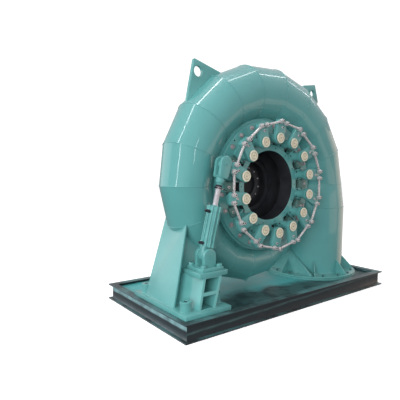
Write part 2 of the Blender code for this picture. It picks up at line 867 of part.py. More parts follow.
def make_foot_plate(teal):
    left, right, front, rear = FOOT_PLATE_BOX
    low = BEAM_HEIGHT + GAP
    high = low + FOOT_PLATE_THICKNESS
    plate = box("foot_plate", (left, front, low), (right, rear, high))
    sleeves = []
    holes = []
    for x, y in SLEEVES:
        wall = ((SLEEVE_RADIUS, high - 0.01), (SLEEVE_RADIUS, high + SLEEVE_HEIGHT))
        bore = ((SLEEVE_HOLE, low - 0.05), (SLEEVE_HOLE, high + 0.2))
        sleeves.append(turned("sleeve", wall, 14, "Z", (x, y)))
        holes.append(turned("sleeve_hole", bore, 10, "Z", (x, y)))
    combine(plate, sleeves, "UNION")
    combine(plate, holes, "DIFFERENCE")
    return dress(plate, teal)


def bracket_sides(z):
    """Left, right and front of the leaning bracket at a height."""
    share = (z - foot_seat()) / (BRACKET_TOP_Z - BRACKET_PLATE - foot_seat())
    return [base + share * (neck - base) for base, neck in zip(BRACKET_BASE_SIDES, BRACKET_NECK_SIDES)]


def make_servo_bracket(teal):
    """Top plate on two side walls and a front frame with two windows."""
    x = CLEVIS_PIN[0]
    wall = BRACKET_WALL
    rear = BRACKET_REAR_Y
    bracket = box(
        "servo_bracket",
        (x - BRACKET_PLATE_HALF, BRACKET_FRONT_Y, BRACKET_TOP_Z - BRACKET_PLATE),
        (x + BRACKET_PLATE_HALF, rear, BRACKET_TOP_Z),
    )
    frame = []
    left_wall = []
    right_wall = []
    for z in (foot_seat() + GAP, BRACKET_TOP_Z - BRACKET_PLATE + 0.01):
        left, right, front = bracket_sides(z)
        frame.append((z, left, right, front, front + wall))
        left_wall.append((z, left, left + wall, front, rear))
        right_wall.append((z, right - wall, right, front, rear))
    walls = leaning_block("bracket_frame", frame)
    sides = (leaning_block("bracket_left", left_wall), leaning_block("bracket_right", right_wall))
    combine(walls, sides, "UNION")
    space = []
    for z in (foot_seat() - 0.01, foot_front_top() + GAP):
        left, right, front, back = foot_sides(z)
        space.append((z, left - GAP, right + 0.4, front - GAP, back + GAP))
    cutters = [leaning_block("bracket_space", space)]
    for levels in BRACKET_WINDOWS:
        window = []
        for z in levels:
            left, right, front = bracket_sides(z)
            left += BRACKET_MARGIN
            right -= BRACKET_MARGIN
            window.append((z, left, right, front - 0.05, front + wall + 0.01))
        cutters.append(leaning_block("bracket_window", window))
    combine(walls, cutters, "DIFFERENCE")
    combine(bracket, (walls,), "UNION")
    return dress(bracket, teal)


def make_lug(name, outline, hole, teal):
    low = MID_Y - LUG_THICKNESS / 2
    high = MID_Y + LUG_THICKNESS / 2
    lug = prism(name, outline, low, high)
    eye = turned("lug_eye", ((hole[2], low - 0.05), (hole[2], high + 0.05)), 20, "Y", hole[:2])
    case = spiral_body("lug_saddle", GAP)
    combine(lug, (eye, case), "DIFFERENCE")
    return dress(lug, teal)


# base frame

def beam_outline():
    """Cross-section of an I-beam, the first number inwards from the frame's outer face."""
    half = BEAM_FLANGE / 2
    web = BEAM_WEB / 2
    thick = BEAM_FLANGE_THICKNESS
    return (
        (0.0, 0.0), (BEAM_FLANGE, 0.0), (BEAM_FLANGE, thick), (half + web, thick),
        (half + web, BEAM_HEIGHT - thick), (BEAM_FLANGE, BEAM_HEIGHT - thick), (BEAM_FLANGE, BEAM_HEIGHT),
        (0.0, BEAM_HEIGHT), (0.0, BEAM_HEIGHT - thick), (half - web, BEAM_HEIGHT - thick),
        (half - web, thick), (0.0, thick),
    )


def make_base_frame(dark):
    """Four mitred beams welded into one rectangle."""
    rings = []
    for x_side, y_side in ((-1, -1), (1, -1), (1, 1), (-1, 1)):
        rings.append([
            (x_side * (FRAME_LENGTH / 2 - inward), y_side * (FRAME_DEPTH / 2 - inward), z)
            for inward, z in beam_outline()
        ])
    frame = new_object("base_frame", rings_mesh("base_frame", rings, closed_round=True))
    return dress(frame, dark)


def make_deck(teal):
    inward = BEAM_FLANGE / 2 + BEAM_WEB / 2 + GAP
    x = FRAME_LENGTH / 2 - inward
    y = FRAME_DEPTH / 2 - inward
    deck = box("deck_plate", (-x, -y, DECK_TOP - DECK_THICKNESS), (x, y, DECK_TOP))
    hole = turned(
        "deck_hole", ((PIPE_RADIUS - PIPE_WALL, 0.0), (PIPE_RADIUS - PIPE_WALL, 0.3)),
        TUBE_SIDES, "Z", (inlet_axis_x(), MID_Y), math.pi / 2,
    )
    combine(deck, (hole,), "DIFFERENCE")
    return dress(deck, teal)


def main():
    clear_scene()
    teal = finish("teal enamel", TEAL, 0.16, 0.0)
    dark = finish("dark frame paint", FRAME_DARK, 0.40, 0.0)
    cream = finish("cream cap", CAP_CREAM, 0.35, 0.0)
    steel = finish("bright steel", STEEL, 0.28, 0.9)

    make_scroll_case(teal)
    make_inlet_pipe(teal)
    make_inlet_flange(teal)
    make_stay_ring(teal)
    make_bore_ring(teal)
    make_front_cover(teal)
    make_rear_cover(teal)
    make_rear_hub(teal)
    make_lug("lifting_lug_left", LUG_LEFT, LUG_LEFT_HOLE, teal)
    make_lug("lifting_lug_right", LUG_RIGHT, LUG_RIGHT_HOLE, teal)
    make_gear(teal, cream, steel)
    make_servo_cylinder(teal)
    make_servo_rod(teal)
    make_servo_clevis(teal)
    make_support_foot(teal)
    make_foot_plate(teal)
    make_servo_bracket(teal)
    make_deck(teal)
    make_base_frame(dark)


main()
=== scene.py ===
import math

import bmesh
import bpy
from mathutils import Matrix, Vector


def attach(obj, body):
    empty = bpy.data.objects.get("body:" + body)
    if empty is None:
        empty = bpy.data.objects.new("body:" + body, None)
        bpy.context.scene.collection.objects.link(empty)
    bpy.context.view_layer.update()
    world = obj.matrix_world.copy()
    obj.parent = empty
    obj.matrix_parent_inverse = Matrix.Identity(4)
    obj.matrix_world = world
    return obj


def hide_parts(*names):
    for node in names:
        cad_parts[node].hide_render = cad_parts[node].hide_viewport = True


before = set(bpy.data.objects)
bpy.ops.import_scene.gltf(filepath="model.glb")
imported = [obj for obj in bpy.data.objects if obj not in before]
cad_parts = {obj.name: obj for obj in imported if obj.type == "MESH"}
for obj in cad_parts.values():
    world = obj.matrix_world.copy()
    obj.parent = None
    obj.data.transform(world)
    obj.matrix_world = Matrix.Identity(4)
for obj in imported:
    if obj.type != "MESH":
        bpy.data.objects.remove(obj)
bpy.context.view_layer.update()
print("frame loaded")

# places that all the pieces share, in metres; angles run clockwise from the top, seen from the gear side
turbine = dict(axisX=-0.095, axisZ=1.228, midY=-0.050, seam=0.0003, vanes=14, halfPassage=0.062, sides=168)
gear = dict(stemCircle=0.49, firstAngle=-1.0, tilt=15.3, pinArm=0.1685, capFace=-0.4445, capBack=-0.4265,
            leverFront=-0.4262, leverDepth=0.045, driveVane=12)
axisSpot = (turbine["axisX"], turbine["axisZ"])
midY, seam = turbine["midY"], turbine["seam"]
vaneStep = 360 / turbine["vanes"]
vaneAngles = [gear["firstAngle"] + i * vaneStep for i in range(turbine["vanes"])]
fourCorners = ((-1, -1), (1, -1), (1, 1), (-1, 1))
noTurn = Matrix.Identity(4)


# shapes

def spun(angle, axis):
    return Matrix.Rotation(math.radians(angle), 4, axis)


def aroundAxis(angle, radius, y=0.0):
    turn = math.radians(angle)
    return Vector((axisSpot[0] + radius * math.sin(turn), y, axisSpot[1] + radius * math.cos(turn)))


def atAngle(angle):
    # local +Z points outwards from the turbine axis at this angle
    return Matrix.Translation((axisSpot[0], 0, axisSpot[1])) @ spun(angle, "Y")


def savedMesh(shape, mesh=None):
    mesh = mesh or bpy.data.meshes.new("shape")
    shape.to_mesh(mesh)
    shape.free()
    return mesh


def meshFrom(points, faces):
    shape = bmesh.new()
    corners = [shape.verts.new(p) for p in points]
    for face in faces:
        shape.faces.new([corners[i] for i in face])
    bmesh.ops.recalc_face_normals(shape, faces=shape.faces[:])
    return savedMesh(shape)


def skinRings(rings, joined=False):
    count = len(rings[0])
    points = [p for ring in rings for p in ring]
    faces = []
    for r in range(len(rings) if joined else len(rings) - 1):
        low, high = r * count, ((r + 1) % len(rings)) * count
        for i in range(count):
            j = (i + 1) % count
            faces.append((low + i, low + j, high + j, high + i))
    if not joined:
        faces.append(tuple(range(count)))
        faces.append(tuple(range((len(rings) - 1) * count, len(rings) * count)))
    return meshFrom(points, faces)


def plateMesh(outline, low, high, axis="Y"):
    order = {"X": (2, 0, 1), "Y": (0, 2, 1), "Z": (0, 1, 2)}[axis]
    return skinRings([[tuple((a, b, t)[k] for k in order) for a, b in outline] for t in (low, high)])


def boxMesh(low, high):
    outline = ((low[0], low[1]), (high[0], low[1]), (high[0], high[1]), (low[0], high[1]))
    return plateMesh(outline, low[2], high[2], "Z")


def leaningMesh(sections):
    # sections are rows of z, left, right, front, rear
    return skinRings([[(left, front, z), (right, front, z), (right, rear, z), (left, rear, z)]
                      for z, left, right, front, rear in sections])


def roundPoint(radius, height, turn, axis, centre):
    a, b = centre[0] + radius * math.sin(turn), centre[1] + radius * math.cos(turn)
    return (a, height, b) if axis == "Y" else (a, b, height)


def turnedMesh(profile, sides, axis="Y", centre=(0.0, 0.0)):
    # profile is rows of (radius, height), closed by a flat face at both ends
    turns = [2 * math.pi * i / sides for i in range(sides)]
    return skinRings([[roundPoint(radius, height, turn, axis, centre) for turn in turns]
                      for radius, height in profile])


def rodMesh(radius, low, high, sides, axis="Y", centre=(0.0, 0.0)):
    return turnedMesh(((radius, low), (radius, high)), sides, axis, centre)


def hoopMesh(profile, sides, axis="Y", centre=(0.0, 0.0)):
    # the closed profile goes round, so the middle stays open
    turns = [2 * math.pi * i / sides for i in range(sides)]
    return skinRings([[roundPoint(radius, height, turn, axis, centre) for radius, height in profile]
                      for turn in turns], joined=True)


def sweptMesh(path, radius, sides=8):
    rings = []
    side = None
    for i, point in enumerate(path):
        ahead = (Vector(path[min(i + 1, len(path) - 1)]) - Vector(path[max(i - 1, 0)])).normalized()
        side = ahead.orthogonal() if side is None else side
        side = (side - ahead * side.dot(ahead)).normalized()
        other = ahead.cross(side)
        turns = [2 * math.pi * k / sides for k in range(sides)]
        rings.append([Vector(point) + radius * (math.cos(t) * side + math.sin(t) * other) for t in turns])
    return skinRings(rings)


def beadAlong(corners, radius, sides=8):
    # a straight weld bead from corner to corner
    return [sweptMesh([Vector(a).lerp(Vector(b), i / 24) for i in range(25)], radius, sides)
            for a, b in zip(corners[:-1], corners[1:])]


def arcPoints(centre, radius, start, end, steps):
    turns = [math.radians(start + (end - start) * i / steps) for i in range(steps + 1)]
    return [(centre[0] + radius * math.sin(t), centre[1] + radius * math.cos(t)) for t in turns]


def levelRing(centre, level, radius, steps, start=0.0, end=360.0):
    # points round a vertical axis, all at one height
    turns = [math.radians(start + (end - start) * i / steps) for i in range(steps + 1)]
    return [(centre[0] + radius * math.cos(t), centre[1] + radius * math.sin(t), level) for t in turns]


def easedMesh(mesh, width, angle=35, steps=2):
    shape = bmesh.new()
    shape.from_mesh(mesh)
    edges = [e for e in shape.edges if len(e.link_faces) == 2 and e.calc_face_angle(0) > math.radians(angle)]
    bmesh.ops.bevel(shape, geom=edges, offset=width, segments=steps, profile=0.5, affect="EDGES",
                    clamp_overlap=True)
    return savedMesh(shape, mesh)


def looseObject(name, data, place=noTurn):
    thing = bpy.data.objects.new(name, data)
    bpy.context.scene.collection.objects.link(thing)
    thing.matrix_world = place
    return thing


def carvedMesh(mesh, *cutters):
    target = looseObject("carved", mesh)
    tools = [looseObject("cutter", cutter) for cutter in cutters]
    for tool in tools:
        step = target.modifiers.new("cut", "BOOLEAN")
        step.operation, step.solver, step.object = "DIFFERENCE", "EXACT", tool
    graph = bpy.context.evaluated_depsgraph_get()
    result = bpy.data.meshes.new_from_object(target.evaluated_get(graph))
    for thing in [target] + tools:
        bpy.data.objects.remove(thing, do_unlink=True)
    return result


def gatheredMesh(parts):
    # parts are meshes, or rows of mesh, place and the number of the material, None to keep its own
    shape = bmesh.new()
    for part in parts:
        row = part if isinstance(part, tuple) else (part,)
        mesh, place, finish = row + (noTurn, 0)[len(row) - 1:]
        firstVert, firstFace = len(shape.verts), len(shape.faces)
        shape.from_mesh(mesh)
        shape.verts.ensure_lookup_table()
        shape.faces.ensure_lookup_table()
        bmesh.ops.transform(shape, matrix=place, verts=shape.verts[firstVert:])
        if finish is not None:
            for face in shape.faces[firstFace:]:
                face.material_index = finish
    return savedMesh(shape)


def repaintedMesh(mesh, test, number=1, centre=axisSpot):
    # faces on material 0 take the number where the test holds
    # it gets the distance from the centre, y, and whether the face is side-on to Y
    for face in mesh.polygons:
        radius = math.hypot(face.center.x - centre[0], face.center.z - centre[1])
        if face.material_index == 0 and test(radius, face.center.y, abs(face.normal.y) < 0.5):
            face.material_index = number
    return mesh


def showPiece(name, node, shape, finishes, body="casing", sharp=32, place=noTurn):
    # shape is a mesh, or a list of parts; node is the CAD node that the piece stands for, "" for none
    mesh = gatheredMesh(shape) if isinstance(shape, list) else shape
    piece = looseObject(name, mesh, place)
    if not mesh.materials:
        for finish in finishes:
            mesh.materials.append(finish)
    mesh.shade_smooth()
    mesh.set_sharp_from_angle(angle=math.radians(sharp))
    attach(piece, body)
    if node:
        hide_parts(node)


def hexBolt(radius, head, washer, sides=20):
    # stands on local +Z
    top = washer + head
    bolt = turnedMesh(((radius, washer - 0.001), (radius, top - radius * 0.18), (radius * 0.84, top)), 6, "Z")
    return gatheredMesh(([rodMesh(radius * 1.32, -0.001, washer, sides, "Z")] if washer else []) + [bolt])


def socketScrew(radius, head):
    # cylinder head on local +Z, its hexagon socket on material 1, which the pieces paint black as painted
    # shade
    body = turnedMesh((
        (radius, 0.0), (radius, head - radius * 0.14), (radius * 0.88, head), (radius * 0.52, head),
        (radius * 0.50, head - radius * 0.5),
    ), 20, "Z")
    for face in body.polygons:
        if math.hypot(face.center.x, face.center.y) < radius * 0.515 and face.center.z > head * 0.3:
            face.material_index = 1
    return body


def boltRing(bolt, count, first, radius, y, turn=90, spin=0.0, finish=0):
    # rows for gatheredMesh, heads to the gear side (turn 90) or to the back (-90)
    rows = []
    for i in range(count):
        tilt = spun(turn, "X") @ Matrix.Rotation(spin * i, 4, "Z")
        rows.append((bolt, Matrix.Translation(aroundAxis(first + i * 360 / count, radius, y)) @ tilt, finish))
    return rows


# finishes

def addNode(tree, kind, inputs, output=0, **settings):
    # an input is a socket to link, or a value
    node = tree.nodes.new("ShaderNode" + kind)
    for key, value in settings.items():
        setattr(node, key, value)
    for key, value in inputs.items():
        if isinstance(value, bpy.types.NodeSocket):
            tree.links.new(value, node.inputs[key])
        else:
            node.inputs[key].default_value = value
    return node.outputs[output]


def noiseNode(tree, where, scale, detail=3.0):
    inputs = {"Vector": where, "Scale": scale, "Detail": detail, "Roughness": 0.55}
    return addNode(tree, "TexNoise", inputs, "Fac")


def rampNode(tree, factor, stops):
    result = addNode(tree, "ValToRGB", {"Fac": factor}, "Color")
    ends = result.node.color_ramp.elements
    for end, (position, colour) in ((ends[0], stops[0]), (ends[1], stops[-1])):
        end.position, end.color = position, (*colour, 1.0)
    for position, colour in stops[1:-1]:
        ends.new(position).color = (*colour, 1.0)
    return result


def rangeNode(tree, value, low, high, newLow=0.0, newHigh=1.0):
    return addNode(tree, "MapRange", {"Value": value, 1: low, 2: high, 3: newLow, 4: newHigh}, "Result")


def mathNode(tree, operation, first, second):
    return addNode(tree, "Math", {0: first, 1: second}, "Value", operation=operation)


def mixedColour(tree, factor, first, second):
    return addNode(tree, "Mix", {"Factor": factor, 6: first, 7: second}, 2, data_type="RGBA")


def partOf(tree, vector, letter):
    return addNode(tree, "SeparateXYZ", {"Vector": vector}, letter)


def surface(name, dark, light, cloud, grain, rough, metal=0.0, coat=0.0, coatRough=0.05, specular=0.5,
            bump=0.1, bumpDepth=0.001, dust=None):
    # two tones in clouds, a fine grain that is felt as bump, and dust as (weight, colour) on upward faces
    material = bpy.data.materials.new(name)
    material.use_nodes = True
    tree = material.node_tree
    shader = tree.nodes["Principled BSDF"]
    where = addNode(tree, "TexCoord", {}, "Object")
    clouds = noiseNode(tree, where, cloud, 4.0)
    colour = rampNode(tree, clouds, ((0.34, dark), (0.66, light)))
    if dust:
        upward = partOf(tree, addNode(tree, "NewGeometry", {}, "Normal"), "Z")
        upward = rangeNode(tree, upward, 0.55, 1.0, 0.0, dust[0])
        patches = rangeNode(tree, noiseNode(tree, where, 5.0, 6.0), 0.38, 0.68)
        colour = mixedColour(tree, mathNode(tree, "MULTIPLY", upward, patches), colour, (*dust[1], 1.0))
    tree.links.new(colour, shader.inputs["Base Color"])
    tree.links.new(rangeNode(tree, clouds, 0.3, 0.7, *rough), shader.inputs["Roughness"])
    for socket, value in (("Metallic", metal), ("Coat Weight", coat), ("Coat Roughness", coatRough),
                          ("Specular IOR Level", specular)):
        shader.inputs[socket].default_value = value
    felt = {"Strength": bump, "Distance": bumpDepth, "Height": noiseNode(tree, where, grain)}
    tree.links.new(addNode(tree, "Bump", felt, "Normal"), shader.inputs["Normal"])
    return material


def repaintedSurface(material, paint):
    # paint(tree, the colour so far, position, normal) gives the new colour
    tree = material.node_tree
    colourIn = tree.nodes["Principled BSDF"].inputs["Base Color"]
    place = addNode(tree, "NewGeometry", {}, "Position").node.outputs
    tree.links.new(paint(tree, colourIn.links[0].from_socket, place["Position"], place["Normal"]), colourIn)
    return material


# the deck's tones paint light: near is dark painted shade along the front, far a bright painted reflection at
# the back
deck = dict(near=(0.013, 0.031, 0.036), scuff=(0.050, 0.120, 0.122), middle=(0.100, 0.310, 0.306),
            far=(0.105, 0.500, 0.510), fade=(-0.36, -0.22), wander=0.10)
# heights of the overspray on the base frame in metres, and its tones; the left-facing tones are lighter as
# painted light, the front-facing ones darker as painted shade
oversprayAndSideLight = dict(
    litLeftStops=(
        (0.02, (0.110, 0.135, 0.142)), (0.038, (0.050, 0.072, 0.082)), (0.060, (0.026, 0.038, 0.043)),
        (0.086, (0.022, 0.033, 0.038)), (0.100, (0.230, 0.400, 0.425)), (0.132, (0.250, 0.470, 0.490)),
        (0.146, (0.075, 0.120, 0.140)), (0.158, (0.085, 0.150, 0.170))),
    shadedFrontStops=(
        (0.02, (0.020, 0.022, 0.025)), (0.074, (0.015, 0.021, 0.023)), (0.088, (0.016, 0.026, 0.029)),
        (0.098, (0.055, 0.100, 0.100)), (0.106, (0.050, 0.090, 0.092)), (0.116, (0.018, 0.026, 0.030)),
        (0.150, (0.018, 0.026, 0.030))),
    wander=0.007, frontRise=0.0245, topColour=(0.060, 0.150, 0.155), topDark=(0.022, 0.034, 0.038))
base = dict(length=2.95, depth=1.445, height=0.16, flange=0.075, thick=0.012, web=0.009, ease=0.0018,
            drainX=-0.196)


def deckPaint(tree, deckBase, position, normal):
    # lighter towards the back as a painted reflection, darker along the front as painted shade with scuff
    # patches in it
    sway = rangeNode(tree, noiseNode(tree, position, 2.6, 5.0), 0.3, 0.7, -deck["wander"], deck["wander"])
    litBack = rangeNode(tree, mathNode(tree, "ADD", partOf(tree, position, "Y"), sway), *deck["fade"])
    paint = rampNode(tree, noiseNode(tree, position, 1.7, 4.0), ((0.34, deck["middle"]), (0.62, deck["far"])))
    scuffs = noiseNode(tree, position, 5.5, 6.0)
    scuffs = rampNode(tree, scuffs, ((0.42, deck["near"]), (0.66, deck["scuff"])))
    shadedFront = mixedColour(tree, rangeNode(tree, noiseNode(tree, position, 11.0, 4.0), 0.4, 0.6), scuffs, deckBase)
    return mixedColour(tree, litBack, shadedFront, paint)


def framePaint(tree, primer, position, normal):
    # dark primer with teal overspray from the deck, a band on the left beam and a thin slanted one in front;
    # the left beam's tones are lighter as painted light on its lit side
    half, full, slope = base["length"] / 2, base["height"], base["length"] / 2 * oversprayAndSideLight["frontRise"]
    sway = rangeNode(tree, noiseNode(tree, position, 2.2, 5.0), 0.3, 0.7, -oversprayAndSideLight["wander"], oversprayAndSideLight["wander"])
    height = mathNode(tree, "ADD", partOf(tree, position, "Z"), sway)
    rise = rangeNode(tree, partOf(tree, position, "X"), -half, half, slope, -slope)
    levels = (("litLeftStops", height), ("shadedFrontStops", mathNode(tree, "ADD", height, rise)))
    left, front = [rampNode(tree, rangeNode(tree, level, 0.0, full),
                            [(z / full, colour) for z, colour in oversprayAndSideLight[stops]]) for stops, level in levels]
    # faces turned to -X take the lighter stops: painted light on the side that faces the lamps
    side = mixedColour(tree, rangeNode(tree, partOf(tree, normal, "X"), -0.6, -0.4, 1.0, 0.0), front, left)
    streaks = rangeNode(tree, noiseNode(tree, position, 9.0, 6.0), 0.30, 0.60, 0.35, 1.0)
    patches = noiseNode(tree, position, 3.4, 6.0)
    patches = rampNode(tree, patches, ((0.40, oversprayAndSideLight["topDark"]), (0.58, oversprayAndSideLight["topColour"])))
    top = rangeNode(tree, partOf(tree, normal, "Z"), 0.6, 0.9)
    return mixedColour(tree, top, mixedColour(tree, streaks, primer, side), patches)


tealEnamel = surface(
    "teal enamel", dark=(0.080, 0.290, 0.285), light=(0.098, 0.335, 0.330), cloud=1.6, grain=45.0,
    rough=(0.34, 0.42), coat=1.0, coatRough=0.035, bump=0.05, bumpDepth=0.0006)
tealPaint = surface(
    "teal shop paint", dark=(0.088, 0.305, 0.296), light=(0.115, 0.365, 0.355), cloud=5.0, grain=70.0,
    rough=(0.30, 0.45), coat=0.8, coatRough=0.10, bumpDepth=0.0006, dust=(0.25, (0.20, 0.38, 0.37)))
tealPlate = surface(
    "teal plate paint", dark=(0.088, 0.315, 0.308), light=(0.108, 0.360, 0.352), cloud=2.2, grain=60.0,
    rough=(0.34, 0.46), coat=0.9, coatRough=0.22, bump=0.06, bumpDepth=0.0006)
tealDeck = repaintedSurface(surface(
    "teal deck paint", dark=(0.030, 0.070, 0.074), light=(0.050, 0.110, 0.112), cloud=7.0, grain=55.0,
    rough=(0.35, 0.60), coat=0.15, coatRough=0.20, bump=0.18, bumpDepth=0.0008, specular=0.35), deckPaint)
frameDark = repaintedSurface(surface(
    "dark frame paint", dark=(0.016, 0.020, 0.023), light=(0.030, 0.034, 0.039), cloud=6.0, grain=60.0,
    rough=(0.34, 0.55), coat=0.25, coatRough=0.2, bump=0.2), framePaint)
# black paint of the bore and chamber; it also stands for painted shade in small holes, the caps' necks and
# the shaft hole
boreBlackAndShade = surface(
    "bore black paint and painted shade", dark=(0.020, 0.021, 0.025), light=(0.036, 0.038, 0.044), cloud=5.0, grain=40.0,
    rough=(0.28, 0.42))
# painted shade: a dark finish for pocket floors, holes, a pin's centre and the cover's hidden inside
recessShade = surface(
    "painted recess shade", dark=(0.006, 0.014, 0.016), light=(0.012, 0.024, 0.026), cloud=20.0, grain=80.0,
    rough=(0.5, 0.7))
stemCream = surface(
    "cream stem cap", dark=(0.64, 0.60, 0.44), light=(0.84, 0.80, 0.66), cloud=22.0, grain=120.0,
    rough=(0.30, 0.48), coat=0.3, coatRough=0.2, bump=0.08, bumpDepth=0.0005)
stemBeige = surface(
    "beige stem centre", dark=(0.54, 0.46, 0.32), light=(0.76, 0.69, 0.53), cloud=34.0, grain=120.0,
    rough=(0.34, 0.5), coat=0.2, coatRough=0.25, bump=0.08, bumpDepth=0.0005)
stemGroove = surface(
    "dark groove", dark=(0.16, 0.13, 0.09), light=(0.30, 0.26, 0.18), cloud=40.0, grain=140.0,
    rough=(0.45, 0.6))
zincSteel = surface(
    "zinc plated steel", dark=(0.60, 0.57, 0.575), light=(0.78, 0.75, 0.755), cloud=30.0, grain=160.0,
    rough=(0.22, 0.36), metal=0.55, bump=0.08, bumpDepth=0.0004)
rodChrome = surface(
    "ground chrome", dark=(0.66, 0.62, 0.66), light=(0.80, 0.76, 0.80), cloud=12.0, grain=200.0,
    rough=(0.30, 0.38), metal=0.75, bump=0.01, bumpDepth=0.0002)
boltSteel = surface(
    "dull bolt steel", dark=(0.27, 0.235, 0.245), light=(0.60, 0.54, 0.56), cloud=26.0, grain=140.0,
    rough=(0.24, 0.40), metal=0.35, bumpDepth=0.0004)
boltPainted = surface(
    "darker teal bolt", dark=(0.030, 0.085, 0.085), light=(0.075, 0.200, 0.195), cloud=30.0, grain=120.0,
    rough=(0.30, 0.45), coat=0.5, coatRough=0.12, bumpDepth=0.0004)
boltDark = surface(
    "oiled steel", dark=(0.075, 0.070, 0.078), light=(0.26, 0.23, 0.25), cloud=34.0, grain=160.0,
    rough=(0.26, 0.42), metal=1.0, bumpDepth=0.0004)
fittingBlackAndSocketShade = surface(
    "black fittings and painted socket shade", dark=(0.012, 0.010, 0.016), light=(0.026, 0.022, 0.032), cloud=25.0, grain=120.0,
    rough=(0.30, 0.45), bumpDepth=0.0004)
# the stop blocks take a darker, greyer teal than the cover
stopDarkTeal = surface(
    "darker teal stop block", dark=(0.070, 0.170, 0.160), light=(0.115, 0.215, 0.195), cloud=14.0, grain=90.0,
    rough=(0.35, 0.5), coat=0.4, coatRough=0.15, bumpDepth=0.0005)
print("finishes made")


# spiral casing and inlet

spiral = dict(tube=0.356, inner=0.70, throatStart=0.165, throatEnd=0.072, segment=20, lastWrap=340,
              sides=96, wall=0.016, mouth=0.06, mitreWeld=0.0042, ringWeld=0.009)


def spiralSection(wrap):
    share = wrap / 360
    tube = spiral["tube"] * math.sqrt(1 - share)
    throat = spiral["throatStart"] + (spiral["throatEnd"] - spiral["throatStart"]) * share
    return tube, spiral["inner"] + math.sqrt(tube ** 2 - throat ** 2)


pipeSpot = (axisSpot[0] + spiralSection(0)[1], midY)


def mitrePoint(wrap, turn, grow=0.0):
    tube, reach = spiralSection(wrap)
    tube += grow
    stretch = 1 / math.cos(math.radians(spiral["segment"] / 2)) if wrap else 1.0
    return aroundAxis(90 - wrap, reach + tube * stretch * math.cos(turn), midY + tube * math.sin(turn))


def spiralForm(grow=0.0, mouth=0.0):
    turns = [2 * math.pi * i / spiral["sides"] for i in range(spiral["sides"])]
    rings = []
    if mouth:
        rings.append([mitrePoint(0, turn, grow) - Vector((0, 0, mouth)) for turn in turns])
    for wrap in range(0, spiral["lastWrap"] + 1, spiral["segment"]):
        rings.append([mitrePoint(wrap, turn, grow) for turn in turns])
    return skinRings(rings)


def segmentPoint(wrap, turn):
    # point on the straight segment between two mitres
    low = min(int(wrap // spiral["segment"]) * spiral["segment"], spiral["lastWrap"] - spiral["segment"])
    share = (wrap - low) / spiral["segment"]
    return mitrePoint(low, turn).lerp(mitrePoint(low + spiral["segment"], turn), share)


def edgeTurn(wrap, side):
    # where the tube meets the stay ring, on the front (-1) or the back (1)
    near, far = 0.3 * math.pi, math.pi
    for step in range(30):
        middle = (near + far) / 2
        point = segmentPoint(wrap, side * middle)
        radius = math.hypot(point.x - axisSpot[0], point.z - axisSpot[1])
        near, far = (middle, far) if radius > spiral["inner"] else (near, middle)
    return side * near


def ringHole():
    return rodMesh(spiral["inner"], -0.6, 0.6, turbine["sides"], "Y", axisSpot)


inletPipe = dict(radius=0.39, taperFrom=0.95, deck=0.1303, wall=0.016, flange=0.55, flangeDepth=0.040,
                 joint=0.019, gussets=8, gussetReach=0.135, gussetHeight=0.155, gussetHalf=0.006,
                 flatX=1.3997, sideLeft=0.513, sideRight=0.542, sideHalf=0.34, sideTop=0.447,
                 bolts=16, boltCircle=0.500, boltSize=0.0125)


def pipeProfile(inset, low, high):
    return ((inletPipe["radius"] - inset, low), (inletPipe["radius"] - inset, inletPipe["taperFrom"]),
            (spiral["tube"] - inset, high))


def pipeBead(level, radius, sides=8):
    return sweptMesh(levelRing(pipeSpot, level, inletPipe["radius"], 96), radius, sides)


def makeCasing():
    pipe = turnedMesh(pipeProfile(-seam, 0.1, axisSpot[1] - seam), 96, "Z", pipeSpot)
    shell = carvedMesh(spiralForm(), spiralForm(-spiral["wall"], spiral["mouth"]), ringHole(), pipe)
    showPiece("spiralCasing", "scroll_case", shell, (tealEnamel,), sharp=9)

    beads = []
    for wrap in range(spiral["segment"], spiral["lastWrap"], spiral["segment"]):
        start, end = [edgeTurn(wrap, side) for side in (-1, 1)]
        path = [mitrePoint(wrap, start + (end - start) * i / 60) for i in range(61)]
        beads.append(sweptMesh(path, spiral["mitreWeld"], 6))
    for side in (-1, 1):
        path = [segmentPoint(wrap, edgeTurn(wrap, side)) for wrap in range(2, 333, 3)]
        beads.append(sweptMesh(path, spiral["ringWeld"]))
    path = levelRing(pipeSpot, axisSpot[1] - 0.001, spiral["tube"], 71, -135, 135)
    beads.append(sweptMesh(path, spiral["mitreWeld"], 6))
    showPiece("casingWelds", "", beads, (tealEnamel,), sharp=60)


def makeInletPipe():
    low, high = inletPipe["deck"], axisSpot[1] - 2 * seam
    profile = pipeProfile(0.0, low, high) + pipeProfile(inletPipe["wall"], low, high)[::-1]
    tube = carvedMesh(hoopMesh(profile, 96, "Z", pipeSpot), ringHole())
    bead = pipeBead(inletPipe["taperFrom"], 0.0035, 6)
    showPiece("inletPipe", "inlet_pipe", [tube, bead], (tealEnamel,), sharp=16)


